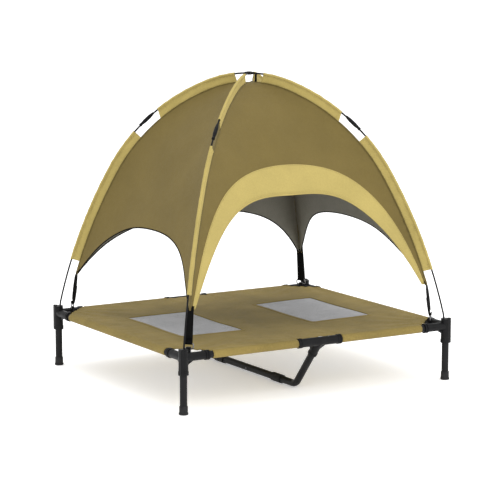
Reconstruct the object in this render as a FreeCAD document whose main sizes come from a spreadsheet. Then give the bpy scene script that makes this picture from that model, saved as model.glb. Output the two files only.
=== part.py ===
import FreeCAD, Part
import math
import os
import re

import Sketcher
from FreeCAD import Placement, Rotation, Vector

# Raised pet cot with a domed sun canopy.
# Frame: +Z up, X along the long side, the arch with the broad band faces -Y.
# The origin is the centre of the footprint on the floor.  Millimetres and degrees.

SIZES = [
    # overall
    ("leg_pitch_long", 1060, "leg axis to leg axis, along X"),
    ("leg_pitch_short", 926, "leg axis to leg axis, along Y"),
    ("rail_height", 192, "rail axis above the floor"),
    ("apex_rise", 882, "pole crossing above the rail axis"),
    # steel tube
    ("tube_dia", 25, "outer diameter of legs, rails and brace"),
    ("tube_wall", 1.2, "wall of the steel tube"),
    ("tube_gap", 0.15, "radial gap of a tube in its socket"),
    # corner connector
    ("sleeve_wall", 3.85, "wall of the leg sleeve"),
    ("sleeve_dia", "=tube_dia + 2 * tube_gap + 2 * sleeve_wall", "outside of the leg sleeve"),
    ("sleeve_rise", 27, "sleeve top above the rail axis"),
    ("sleeve_drop", 59, "sleeve bottom below the rail axis"),
    ("sleeve_lip", 12, "height of the thicker ring at the sleeve bottom"),
    ("sleeve_lip_step", 1.25, "step of that ring beyond the sleeve"),
    ("sleeve_lip_dia", "=sleeve_dia + 2 * sleeve_lip_step", "diameter of that ring"),
    ("leg_stop", 21, "leg tube top below the rail axis"),
    ("rib_dia", 14, "diameter of the upright outer rib"),
    ("rib_sink", 4, "rib axis inside the face of the sleeve"),
    ("rib_offset", "=sleeve_dia / 2 - rib_sink", "rib axis outside the leg axis"),
    ("rib_rise", 29.5, "rib top above the rail axis"),
    ("arm_wall", 1.85, "wall of a rail arm"),
    ("arm_dia", "=tube_dia + 2 * tube_gap + 2 * arm_wall", "outer diameter of a rail arm"),
    ("arm_reach", 95, "arm end from the leg axis"),
    ("rail_stop", 24, "rail tube end from the leg axis"),
    ("collar_step", 2.5, "step of the rings at arm and tee ends beyond the arm"),
    ("collar_dia", "=arm_dia + 2 * collar_step", "diameter of those rings"),
    ("collar_width", 5.5, "width of one ring"),
    ("collar_pitch", 9, "spacing of the two rings"),
    ("gusset_width", 7, "thickness of the gusset under an arm"),
    ("gusset_reach", 58, "gusset length along the arm"),
    ("gusset_drop", 36, "gusset depth below the rail axis"),
    ("web_thickness", 6, "thickness of the web between the two arms"),
    ("web_reach", 86, "web length along each arm"),
    # strap ring and its lug
    ("lug_inset", 52, "lug axis inside the leg axis, along the diagonal"),
    ("lug_lift", 6.5, "lug axis above the top of the arms"),
    ("lug_rise", "=arm_dia / 2 + lug_lift", "lug axis above the rail axis"),
    ("lug_width", 14, "lug width between the ring's sides"),
    ("lug_depth", 10, "lug size along the diagonal"),
    ("ring_wire", 4, "wire diameter of the strap ring"),
    ("ring_gap", 0.1, "radial gap of the ring wire in the lug"),
    ("ring_side_gap", 2, "gap from the webbing to the ring's sides"),
    ("ring_width", "=webbing_width + 2 * ring_side_gap + ring_wire", "ring width, wire axes"),
    ("ring_height", 16, "ring height, wire axis to wire axis"),
    ("ring_corner", 4, "corner radius of the wire axis"),
    # webbing
    ("webbing_width", 25, "width of the corner straps"),
    ("webbing_gauge", 1.5, "thickness of the webbing"),
    ("webbing_gap", 0.4, "gap between the two layers of a fastened strap"),
    ("loop_front", 10, "short leg of the loop round the ring bar"),
    ("loop_back", 66, "long leg of that loop, which holds the strap"),
    ("strap_clear", 16, "strap end above the ring bar"),
    # foot
    ("foot_wall", 1.95, "rubber foot, wall round the tube"),
    ("foot_dia", "=tube_dia + 2 * foot_gap + 2 * foot_wall", "rubber foot, top"),
    ("foot_flare", 1.5, "rubber foot, widening to the bottom"),
    ("foot_base_dia", "=foot_dia + 2 * foot_flare", "rubber foot, bottom"),
    ("foot_height", 29, "rubber foot height"),
    ("foot_floor", 5, "rubber under the tube"),
    ("foot_gap", 0.05, "radial gap between tube and foot"),
    # tee connector
    ("tee_length", 172, "length over both ends"),
    ("tee_wall", 2.35, "wall round the rails"),
    ("tee_dia", "=tube_dia + 2 * tube_gap + 2 * tee_wall", "outer diameter"),
    ("tee_stop", 5, "half width of the stop between the two rails"),
    ("branch_angle", 50, "slope of the brace below level"),
    ("branch_length", 66, "branch end from the rail axis"),
    ("branch_wall", 2.85, "wall round the brace"),
    ("branch_dia", "=tube_dia + 2 * tube_gap + 2 * branch_wall", "branch outer diameter"),
    ("branch_lip", 9, "length of the ring at the branch end"),
    ("branch_stop", 20, "brace tube end from the rail axis"),
    ("tee_web_width", 8, "thickness of the web beside the branch"),
    ("tee_web_reach", 46, "web length along the tee, each way"),
    # centre brace
    ("brace_bend", 45, "bend radius of the brace axis"),
    ("pad_wall", 3, "rubber floor pad, wall"),
    ("pad_length", 60, "rubber floor pad, length"),
    ("pad_offset", 197, "pad centre from the long axis"),
    ("swage_half", 34, "half length of the reduced joint tube"),
    ("swage_gap", 0.2, "radial gap of the joint tube"),
    # snap button
    ("button_dia", 6.8, "button diameter"),
    ("button_proud", 3, "button height above the tube"),
    ("button_hole_gap", 0.3, "radial gap of the button in its holes"),
    ("button_flange_dia", 10, "diameter of the flange under the button"),
    ("button_flange", 1, "thickness of that flange"),
    ("button_seat", 1.8, "flange top inside the tube's inner wall"),
    ("leaf_gauge", 0.6, "leaf spring thickness"),
    ("leaf_width", 6, "leaf spring width"),
    ("leaf_length", 34, "leaf spring length beyond the button axis"),
    ("leaf_spread", 11, "leaf spring arms apart at the open end"),
    # bed
    ("sheet_gauge", 1.2, "bed cloth thickness"),
    ("hem_gap", 0.3, "radial gap of the hem round the rail"),
    ("hem_gauge", 1.2, "hem thickness"),
    ("hem_clear", 2, "hem end from the arm or tee"),
    ("corner_cut", 14, "extra cut of the cloth at the corners"),
    ("tee_notch", 13, "cloth notch at the tee, from the rail axis"),
    ("window_width", 240, "mesh window along X"),
    ("window_length", 400, "mesh window along Y"),
    ("window_offset", 265, "mesh window centre from the short axis"),
    ("mesh_gauge", 0.6, "mesh thickness"),
    # poles
    ("pole_dia", 6, "pole diameter"),
    ("pole_foot_inset", 6.7, "pole foot inside the leg axis"),
    ("pole_socket_depth", 20, "pole socket depth"),
    ("pole_gap", 0.35, "radial gap of the pole in its socket"),
    ("foot_bend", 80, "bend radius at the socket mouth"),
    ("lean_foot", 13, "lean of the pole above its socket"),
    ("lean_shoulder", 29, "lean where the lower bend ends"),
    ("lean_crown", 68, "lean where the crown bend starts"),
    ("crown_radius", 400, "bend radius over the crown"),
    ("pole_joint_wall", 1.65, "pole joint, wall at its ends"),
    ("pole_joint_end_dia", "=pole_dia + 2 * pole_joint_gap + 2 * pole_joint_wall", "its ends"),
    ("pole_joint_swell", 2, "pole joint, how far its middle stands beyond its ends"),
    ("pole_joint_dia", "=pole_joint_end_dia + 2 * pole_joint_swell", "pole joint, thickest"),
    ("pole_joint_length", 68, "pole joint length"),
    ("pole_joint_gap", 0.1, "radial gap of the pole in its joint"),
    ("pole_joint_place", 416, "pole joint centre from the hub, along the pole"),
    ("pole_break_gap", 2, "gap between the pole ends inside the joint"),
    ("hub_dia", 20, "hub diameter"),
    ("hub_height", 11, "hub height"),
    ("hub_reach", 16, "hub socket end from the centre"),
    ("hub_wall", 1.45, "hub socket wall"),
    ("hub_socket_dia", "=pole_dia + 2 * pole_joint_gap + 2 * hub_wall", "hub socket diameter"),
    ("hub_end_gap", 0.71, "gap between neighbouring pole ends in the hub"),
    ("hub_stop", "=pole_dia / 2 * leg_pitch_long / leg_pitch_short + hub_end_gap", "pole end"),
    # canopy
    ("sleeve_fin", 31, "pole axis to canopy seam"),
    ("fin_gauge", 1.6, "two layers of the sleeve cloth"),
    ("fin_hem", 1.1, "sleeve cloth round the pole"),
    ("fin_seam_gap", 0.4, "sleeve edge from the canopy cloth"),
    ("lower_fin_rise", 206, "lower sleeve, bottom above the rail axis"),
    ("lower_fin_top", 480, "lower sleeve, top from the hub, along the pole"),
    ("upper_fin_bottom", 362, "upper sleeve, bottom from the hub, along the pole"),
    ("upper_fin_top", 62, "upper sleeve, top from the hub, along the pole"),
    ("canopy_gauge", 1.0, "canopy cloth thickness"),
    ("seam_gap", 0.5, "canopy panel edge from the diagonal plane"),
    ("tip_rise", 148, "canopy tips above the rail axis"),
    ("tab_width", 9, "width of a canopy tip beside the arch"),
    ("front_tab_width", 20, "width of a canopy tip beside the front opening, with its band"),
    ("front_arch_rise", 496, "front opening, top above the rail axis"),
    ("front_side_pull", 410, "front opening, roundness at the sides"),
    ("front_side_lean", 27, "front opening, lean at the tips"),
    ("front_top_pull", 146, "front opening, roundness at the top"),
    ("band_rise", 602, "front band, outer edge above the rail axis"),
    ("band_side_pull", 345, "front band, roundness at the sides"),
    ("band_side_lean", 17.7, "front band, lean at the tips"),
    ("band_top_pull", 240, "front band, roundness at the top"),
    ("back_arch_rise", 358, "back opening, top above the rail axis"),
    ("back_side_pull", 147, "back opening, roundness at the sides"),
    ("back_side_lean", 36, "back opening, lean at the tips"),
    ("back_top_pull", 270, "back opening, roundness at the top"),
    ("side_arch_rise", 362, "side openings, top above the rail axis"),
    ("side_side_pull", 200, "side openings, roundness at the sides"),
    ("side_side_lean", 39.5, "side openings, lean at the tips"),
    ("side_top_pull", 210, "side openings, roundness at the top"),
    ("tie_width", 12, "apex tie, webbing width"),
    ("tie_gauge", 1.2, "apex tie, webbing thickness"),
    ("tie_place", 24, "apex tie from the hub centre"),
    ("tie_gap", 0.3, "gap above and below the tie"),
]

UP = Vector(0, 0, 1)
ALONG_X = Vector(1, 0, 0)
ALONG_Y = Vector(0, 1, 0)
ORIGIN = Vector(0, 0, 0)
EPS = 0.01

doc = FreeCAD.newDocument("pet_cot")
sheet = doc.addObject("Spreadsheet::Sheet", "Sizes")
parts = []


def fill_sheet():
    """One row for each size: its value, or the sizes that it follows, its alias and what it is."""
    for row, (alias, _, note) in enumerate(SIZES, start=1):
        sheet.setAlias("A%d" % row, alias)
        sheet.set("B%d" % row, note)
    for row, (_, value, _) in enumerate(SIZES, start=1):
        sheet.set("A%d" % row, str(value))
    doc.recompute()


def size(alias):
    return float(sheet.get(alias))


def bound(words):
    """Turn size names in an expression into references to the sheet."""
    return re.sub(r"[a-z]+(_[a-z]+)+", r"Sizes.\g<0>", words)


def bind(item, **properties):
    for name, words in properties.items():
        item.setExpression(name, bound(words))


def bind_place(item, at):
    for axis, words in zip("xyz", at):
        item.setExpression("Placement.Base." + axis, bound(words))


def keep(item, node):
    """Mark an object as a finished sub-part under its own name."""
    item.Label = node
    parts.append(item)
    return item


# ---------------------------------------------------------------- basic pieces

def cylinder(name, dia, length, at, direction=UP):
    item = doc.addObject("Part::Cylinder", name)
    bind(item, Radius="(" + dia + ") / 2", Height=length)
    item.Placement = Placement(ORIGIN, Rotation(UP, direction))
    bind_place(item, at)
    return item


def block(name, x_size, y_size, z_size, at, turn=0):
    item = doc.addObject("Part::Box", name)
    bind(item, Length=x_size, Width=y_size, Height=z_size)
    item.Placement = Placement(ORIGIN, Rotation(UP, turn))
    bind_place(item, at)
    return item


def gusset(name, reach, drop, width, at, rotation):
    """A right-angled triangular plate: reach along X, drop down, width along Y."""
    item = doc.addObject("Part::Wedge", name)
    bind(item, Xmax=reach, Zmax=width, Z2max=width, Ymax=drop)
    for fixed in ("Xmin", "Ymin", "Zmin", "X2min", "Z2min", "X2max"):
        setattr(item, fixed, 0)
    item.Placement = Placement(ORIGIN, rotation)
    bind_place(item, at)
    return item


def fuse(name, items):
    item = doc.addObject("Part::MultiFuse", name)
    item.Shapes = items
    item.Refine = True
    return item


def cut(name, base, tools):
    item = doc.addObject("Part::Cut", name)
    item.Base = base
    item.Tool = tools[0] if len(tools) == 1 else fuse(name + "_tools", tools)
    return item


def tube(name, length, at, direction=UP):
    """A straight length of the frame's steel tube."""
    outer = cylinder(name + "_outer", "tube_dia", length, at, direction)
    bore = cylinder(name + "_bore", "tube_dia - 2 * tube_wall", length, at, direction)
    return cut(name, outer, [bore])


def feature(name, shape, placement=Placement()):
    item = doc.addObject("Part::Feature", name)
    item.Shape = shape
    item.Placement = placement.multiply(shape.Placement)
    return item


def mirrored(name, source, normal):
    item = doc.addObject("Part::Mirroring", name)
    item.Source = source
    item.Normal = normal
    return item


def at_four_corners(stem, source):
    """Keep the back right piece and its three mirror images."""
    front_right = mirrored(stem + "_front_right", source, ALONG_Y)
    keep(source, stem + "_back_right")
    keep(front_right, stem + "_front_right")
    keep(mirrored(stem + "_back_left", source, ALONG_X), stem + "_back_left")
    keep(mirrored(stem + "_front_left", front_right, ALONG_X), stem + "_front_left")


def four_as_one(node, source):
    """Four identical pieces, one at each corner, kept as one group."""
    front = mirrored(node + "_front", source, ALONG_Y)
    right = doc.addObject("Part::Compound", node + "_right")
    right.Links = [source, front]
    left = mirrored(node + "_left", right, ALONG_X)
    group = doc.addObject("Part::Compound", node)
    group.Links = [right, left]
    keep(group, node)


def turned(name, outline):
    """A turned or moulded round piece: (radius, height) corners, spun about its upright axis."""
    body = doc.addObject("PartDesign::Body", name)
    sketch = body.newObject("Sketcher::SketchObject", name + "_section")
    plane = [f for f in body.Origin.OriginFeatures if f.Role == "XZ_Plane"][0]
    sketch.AttachmentSupport = [(plane, "")]
    sketch.MapMode = "FlatFace"
    corners = []
    for radius, height in outline:
        spot = [float(sheet.evalExpression(bound(words))) for words in (radius, height)]
        corners.append(Vector(spot[0], spot[1], 0))
    count = len(corners)
    for i in range(count):
        sketch.addGeometry(Part.LineSegment(corners[i], corners[(i + 1) % count]), False)
    for i in range(count):
        sketch.addConstraint(Sketcher.Constraint("Coincident", i, 2, (i + 1) % count, 1))
    for i, (radius, height) in enumerate(outline):
        for kind, words, axis_line in (("DistanceX", radius, -2), ("DistanceY", height, -1)):
            if words == "0":
                sketch.addConstraint(Sketcher.Constraint("PointOnObject", i, 1, axis_line))
                continue
            number = corners[i].x if kind == "DistanceX" else corners[i].y
            index = sketch.addConstraint(Sketcher.Constraint(kind, -1, 1, i, 1, number))
            sketch.renameConstraint(index, "%s%d" % (kind, i))
            sketch.setExpression("Constraints.%s%d" % (kind, i), bound(words))
    revolution = body.newObject("PartDesign::Revolution", name + "_turned")
    revolution.Profile = sketch
    revolution.ReferenceAxis = (sketch, ["V_Axis"])
    revolution.Angle = 360
    doc.recompute()
    return body


# ---------------------------------------------------------------- curved paths

class PolePath:
    """The bent pole in its upright plane: x outwards from the centre, z up.

    Four tangent arcs run from the socket mouth to the hub.  A place on the path is given by
    the lean of the pole there, from 0 (upright, at the socket) to 90 degrees (level, at the
    hub).  A path inset towards the inside keeps the same arc centres.
    """

    def __init__(self):
        corner = math.hypot(size("leg_pitch_long"), size("leg_pitch_short")) / 2
        self.foot = corner - size("pole_foot_inset")
        self.mouth = size("rail_height") + size("sleeve_rise")
        self.apex = size("rail_height") + size("apex_rise")
        names = ("lean_foot", "lean_shoulder", "lean_crown")
        leans = [0.0] + [math.radians(size(n)) for n in names] + [math.pi / 2]
        across = [math.cos(leans[i]) - math.cos(leans[i + 1]) for i in range(4)]
        climb = [math.sin(leans[i + 1]) - math.sin(leans[i]) for i in range(4)]
        foot_bend = size("foot_bend")
        crown = size("crown_radius")
        run = self.foot - foot_bend * across[0] - crown * across[3]
        rise = self.apex - self.mouth - foot_bend * climb[0] - crown * climb[3]
        scale = across[1] * climb[2] - across[2] * climb[1]
        lower = (run * climb[2] - across[2] * rise) / scale
        upper = (across[1] * rise - run * climb[1]) / scale
        self.arcs = []
        x, z = self.foot, self.mouth
        for i, radius in enumerate((foot_bend, lower, upper, crown)):
            centre_x = x - radius * math.cos(leans[i])
            centre_z = z - radius * math.sin(leans[i])
            self.arcs.append((centre_x, centre_z, radius, leans[i], leans[i + 1]))
            x = centre_x + radius * math.cos(leans[i + 1])
            z = centre_z + radius * math.sin(leans[i + 1])

    def point(self, lean, inset=0.0):
        for centre_x, centre_z, radius, _, last in self.arcs:
            if lean <= last + 1e-9:
                break
        reach = radius - inset
        return Vector(centre_x + reach * math.cos(lean), 0, centre_z + reach * math.sin(lean))

    def edges(self, first, last, inset=0.0):
        """Arc edges between two leans, from the lower to the upper."""
        out = []
        for centre_x, centre_z, radius, start, end in self.arcs:
            low, high = max(start, first), min(end, last)
            if high - low < 1e-6:
                continue
            spots = []
            for lean in (low, (low + high) / 2, high):
                reach = radius - inset
                spots.append(Vector(centre_x + reach * math.cos(lean), 0,
                                    centre_z + reach * math.sin(lean)))
            out.append(Part.Arc(*spots).toShape())
        return out

    def lean_at_height(self, height, inset=0.0):
        for centre_x, centre_z, radius, start, end in self.arcs:
            if centre_z + (radius - inset) * math.sin(end) >= height:
                return max(start, math.asin((height - centre_z) / (radius - inset)))
        return math.pi / 2

    def lean_from_hub(self, distance):
        """Lean at a distance from the hub, measured along the pole."""
        for _, _, radius, start, end in reversed(self.arcs):
            length = radius * (end - start)
            if distance <= length:
                return end - distance / radius
            distance -= length
        return 0.0


def pipe(edges, dia):
    """A round bar along tangent edges that start in the upright plane y = 0 or x = 0."""
    path = Part.Wire(edges)
    start = path.Edges[0].firstVertex().Point
    heading = path.Edges[0].tangentAt(path.Edges[0].FirstParameter)
    ring = Part.Wire(Part.Circle(start, heading, dia / 2).toShape())
    return path.makePipeShell([ring], True, True)


def flat_face(edges):
    return Part.Face(Part.Wire(Part.__sortEdges__(edges)))


def line(start, end):
    return Part.makeLine(start, end)


# ---------------------------------------------------------------- frame

HALF_LONG = "leg_pitch_long / 2"
HALF_SHORT = "leg_pitch_short / 2"
CORNER = (HALF_LONG, HALF_SHORT)


def corner_connector(lean_plane):
    """Three-way moulding: leg sleeve, two rail arms, gussets, web, pole socket and ring lug."""
    rail = "rail_height"
    solids = [
        cylinder("sleeve", "sleeve_dia", "sleeve_rise + sleeve_drop",
                 CORNER + ("rail_height - sleeve_drop",)),
        cylinder("sleeve_ring", "sleeve_lip_dia", "sleeve_lip",
                 CORNER + ("rail_height - sleeve_drop",)),
        cylinder("arm_x", "arm_dia", "arm_reach", CORNER + (rail,), Vector(-1, 0, 0)),
        cylinder("arm_y", "arm_dia", "arm_reach", CORNER + (rail,), Vector(0, -1, 0)),
    ]
    rib_x = "leg_pitch_long / 2 + rib_offset * cos(atan2(leg_pitch_short; leg_pitch_long))"
    rib_y = "leg_pitch_short / 2 + rib_offset * sin(atan2(leg_pitch_short; leg_pitch_long))"
    solids.append(cylinder("rib", "rib_dia", "rib_rise + sleeve_drop",
                           (rib_x, rib_y, "rail_height - sleeve_drop")))
    for i in range(2):
        start = "arm_reach - collar_width - %d * collar_pitch" % i
        solids.append(cylinder("collar_x%d" % i, "collar_dia", "collar_width",
                               ("leg_pitch_long / 2 - ( " + start + " )", HALF_SHORT, rail),
                               Vector(-1, 0, 0)))
        solids.append(cylinder("collar_y%d" % i, "collar_dia", "collar_width",
                               (HALF_LONG, "leg_pitch_short / 2 - ( " + start + " )", rail),
                               Vector(0, -1, 0)))
    # a gusset's own X runs along the arm, its own Y downwards
    along_minus_x = Rotation(Vector(-1, 0, 0), Vector(0, 0, -1), Vector(0, -1, 0), "XYZ")
    along_minus_y = Rotation(Vector(0, -1, 0), Vector(0, 0, -1), Vector(1, 0, 0), "XYZ")
    solids.append(gusset("gusset_x", "gusset_reach", "gusset_drop", "gusset_width",
                         (HALF_LONG, "leg_pitch_short / 2 + gusset_width / 2", rail),
                         along_minus_x))
    solids.append(gusset("gusset_y", "gusset_reach", "gusset_drop", "gusset_width",
                         ("leg_pitch_long / 2 - gusset_width / 2", HALF_SHORT, rail),
                         along_minus_y))
    flat_web = Rotation(Vector(-1, 0, 0), Vector(0, -1, 0), UP, "XYZ")
    solids.append(gusset("web", "web_reach", "web_reach", "web_thickness",
                         (HALF_LONG, HALF_SHORT, "rail_height - web_thickness / 2"), flat_web))
    lug_height = size("lug_rise") + size("lug_depth") / 2
    lug = Part.makeBox(size("lug_depth"), size("lug_width"), lug_height,
                       Vector(lug_radius() - size("lug_depth") / 2, -size("lug_width") / 2,
                              size("rail_height")))
    solids.append(feature("lug", lug, lean_plane))
    bores = [
        cylinder("leg_bore", "tube_dia + 2 * tube_gap", "sleeve_drop - leg_stop + 1",
                 CORNER + ("rail_height - sleeve_drop - 1",)),
        cylinder("rail_bore_x", "tube_dia + 2 * tube_gap", "arm_reach - rail_stop + 1",
                 ("leg_pitch_long / 2 - rail_stop", HALF_SHORT, rail), Vector(-1, 0, 0)),
        cylinder("rail_bore_y", "tube_dia + 2 * tube_gap", "arm_reach - rail_stop + 1",
                 (HALF_LONG, "leg_pitch_short / 2 - rail_stop", rail), Vector(0, -1, 0)),
    ]
    mouth = size("rail_height") + size("sleeve_rise")
    depth = size("pole_socket_depth")
    socket = Part.makeCylinder(size("pole_dia") / 2 + size("pole_gap"), depth + 1,
                               Vector(pole.foot, 0, mouth - depth))
    bores.append(feature("pole_socket", socket, lean_plane))
    hole_length = size("lug_width") + 2
    ring_hole = Part.makeCylinder(size("ring_wire") / 2 + size("ring_gap"), hole_length,
                                  Vector(lug_radius(), -hole_length / 2, lug_axis_height()),
                                  ALONG_Y)
    bores.append(feature("ring_hole", ring_hole, lean_plane))
    return cut("corner_connector", fuse("corner_solids", solids), bores)


def tee_connector():
    """Joins the two half rails of a long side and carries one end of the centre brace."""
    rail = "rail_height"
    branch = Rotation(ALONG_X, 90 + size("branch_angle"))
    solids = [cylinder("tee_body", "tee_dia", "tee_length",
                       ("-tee_length / 2", HALF_SHORT, rail), ALONG_X)]
    for side in (-1, 1):
        for i in range(2):
            start = "tee_length / 2 - collar_width - %d * collar_pitch" % i
            solids.append(cylinder("tee_collar_%d_%d" % (side + 1, i), "collar_dia",
                                   "collar_width",
                                   ("%d * ( " % side + start + " )", HALF_SHORT, rail),
                                   Vector(side, 0, 0)))
        turn = Rotation(Vector(side, 0, 0), branch.multVec(UP),
                        Vector(side, 0, 0).cross(branch.multVec(UP)), "XYZ")
        web = gusset("tee_web_%d" % (side + 1), "tee_web_reach", "branch_length",
                     "tee_web_width", ("0", HALF_SHORT, rail), turn)
        shift = turn.multVec(Vector(0, 0, -size("tee_web_width") / 2))
        bind_place(web, ("0", "leg_pitch_short / 2 + %.6f" % shift.y,
                         "rail_height + %.6f" % shift.z))
        solids.append(web)
    arm = cylinder("branch", "branch_dia", "branch_length", ("0", HALF_SHORT, rail))
    lip_start = size("branch_length") - size("branch_lip")
    lip_at = branch.multVec(Vector(0, 0, lip_start))
    lip = cylinder("branch_lip_ring", "collar_dia", "branch_lip",
                   ("0", "leg_pitch_short / 2 + %.6f" % lip_at.y,
                    "rail_height + %.6f" % lip_at.z))
    hole_at = branch.multVec(Vector(0, 0, size("branch_stop")))
    hole = cylinder("branch_bore", "tube_dia + 2 * tube_gap", "branch_length",
                    ("0", "leg_pitch_short / 2 + %.6f" % hole_at.y,
                     "rail_height + %.6f" % hole_at.z))
    for item in (arm, lip, hole):
        item.Placement = Placement(ORIGIN, branch)
    solids += [arm, lip]
    bores = [hole]
    for side in (-1, 1):
        bores.append(cylinder("tee_bore_%d" % (side + 1), "tube_dia + 2 * tube_gap",
                              "tee_length / 2",
                              ("%d * tee_stop" % side, HALF_SHORT, rail),
                              Vector(side, 0, 0)))
    return cut("tee_connector", fuse("tee_solids", solids), bores)


def brace_route(end_y):
    """Axis of a brace half in the plane x = 0, from the tee branch to y = end_y."""
    slope = math.radians(size("branch_angle"))
    heading = Vector(0, -math.cos(slope), -math.sin(slope))
    hinge_point = Vector(0, size("leg_pitch_short") / 2, size("rail_height"))
    floor_axis = brace_axis_height()
    reach = (hinge_point.z - floor_axis) / math.sin(slope)
    knee = hinge_point + heading * reach
    tangent = size("brace_bend") * math.tan(slope / 2)
    start = hinge_point + heading * size("branch_stop")
    bend_start = knee - heading * tangent
    bend_end = knee + Vector(0, -tangent, 0)
    centre = bend_end + Vector(0, 0, size("brace_bend"))
    middle = centre + Vector(0, math.sin(slope / 2), -math.cos(slope / 2)) * size("brace_bend")
    return [line(start, bend_start), Part.Arc(bend_start, middle, bend_end).toShape(),
            line(bend_end, Vector(0, end_y, floor_axis))]


def brace_axis_height():
    return size("tube_dia") / 2 + size("pad_wall")


def brace_halves():
    """Two bent tubes; the back one is reduced where it plugs into the front one."""
    outer = size("tube_dia")
    inner = outer - 2 * size("tube_wall")
    joint_outer = inner - 2 * size("swage_gap")
    joint_inner = joint_outer - 2 * size("tube_wall")
    half = size("swage_half")
    height = brace_axis_height()
    button_hole = Part.makeCylinder(size("button_dia") / 2 + size("button_hole_gap"), outer,
                                    Vector(0, 0, height), Vector(-1, 0, 0))
    back = pipe(brace_route(half), outer).cut(pipe(brace_route(half), inner))
    reduced = Part.makeCylinder(joint_outer / 2, 2 * half, Vector(0, -half, height), ALONG_Y)
    shoulder = Part.makeCylinder(outer / 2, size("tube_wall") * 2, Vector(0, half, height), ALONG_Y)
    bore = Part.makeCylinder(joint_inner / 2, 2 * half + 4 * size("tube_wall"),
                             Vector(0, -half, height), ALONG_Y)
    back = back.fuse([reduced, shoulder]).cut(bore).cut(button_hole)
    long_route = brace_route(-half)
    front = pipe(long_route, outer).cut(pipe(long_route, inner)).mirror(ORIGIN, ALONG_Y)
    front = front.cut(button_hole)
    return feature("centre_brace_back", back), feature("centre_brace_front", front)


def snap_button():
    """Spring button that locks the two brace halves; it points along -X."""
    outer_wall = "tube_dia / 2"
    inner_wall = "tube_dia / 2 - 2 * tube_wall - swage_gap"
    top = outer_wall + " + button_proud"
    flange_top = inner_wall + " - button_seat"
    flange_bottom = flange_top + " - button_flange"
    body = turned("snap_button", [
        ("0", flange_bottom),
        ("button_flange_dia / 2", flange_bottom),
        ("button_flange_dia / 2", flange_top),
        ("button_dia / 2", flange_top),
        ("button_dia / 2", top + " - 1"),
        ("button_dia / 2 - 1", top),
        ("0", top),
    ])
    body.Placement = Placement(ORIGIN, Rotation(UP, Vector(-1, 0, 0)))
    bind_place(body, ("0", "0", "tube_dia / 2 + pad_wall"))
    return body


def leaf_spring():
    """V-shaped leaf behind the button, bent once, inside the reduced joint tube."""
    gauge = size("leaf_gauge")
    inner_wall = size("tube_dia") / 2 - 2 * size("tube_wall") - size("swage_gap")
    seat = -(inner_wall - size("button_seat") - size("button_flange")) + gauge / 2
    flat = size("button_flange_dia") / 2 + 1
    nose = size("leaf_length")
    spots = [(seat, -flat), (seat, flat), (seat + size("leaf_spread") / 2, nose),
             (seat + size("leaf_spread"), -flat)]
    height = brace_axis_height()
    strips = []
    for (x1, y1), (x2, y2) in zip(spots, spots[1:]):
        across = Vector(y1 - y2, x2 - x1, 0)
        across.normalize()
        across *= gauge / 2
        first, last = Vector(x1, y1, 0), Vector(x2, y2, 0)
        outline = [first + across, last + across, last - across, first - across, first + across]
        strips.append(Part.Face(Part.makePolygon(outline)).extrude(UP * size("leaf_width")))
    for x, y in spots[1:-1]:
        strips.append(Part.makeCylinder(gauge / 2, size("leaf_width"), Vector(x, y, 0)))
    leaf = strips[0].fuse(strips[1:])
    leaf.translate(Vector(0, 0, height - size("leaf_width") / 2))
    return feature("button_leaf_spring", leaf.removeSplitter())


def rubber_foot():
    outline = [
        ("0", "0"),
        ("foot_base_dia / 2 - 1", "0"),
        ("foot_base_dia / 2", "1"),
        ("foot_base_dia / 2", "foot_floor"),
        ("foot_dia / 2", "foot_floor + 4"),
        ("foot_dia / 2", "foot_height - 1"),
        ("foot_dia / 2 - 1", "foot_height"),
        ("tube_dia / 2 + foot_gap", "foot_height"),
        ("tube_dia / 2 + foot_gap", "foot_floor"),
        ("0", "foot_floor"),
    ]
    body = turned("leg_foot", outline)
    bind_place(body, CORNER + ("0",))
    return body


def floor_pads():
    """Rubber sleeves on which the brace stands."""
    pads = []
    for side in (-1, 1):
        at = ("0", "%d * pad_offset - pad_length / 2" % side, "tube_dia / 2 + pad_wall")
        outer = cylinder("pad_outer_%d" % (side + 1), "tube_dia + 2 * pad_wall", "pad_length",
                         at, ALONG_Y)
        bore = cylinder("pad_bore_%d" % (side + 1), "tube_dia + 2 * foot_gap", "pad_length",
                        at, ALONG_Y)
        pads.append(cut("pad_%d" % (side + 1), outer, [bore]))
    group = doc.addObject("Part::Compound", "brace_floor_pads")
    group.Links = pads
    return group


# ---------------------------------------------------------------- bed

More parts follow.
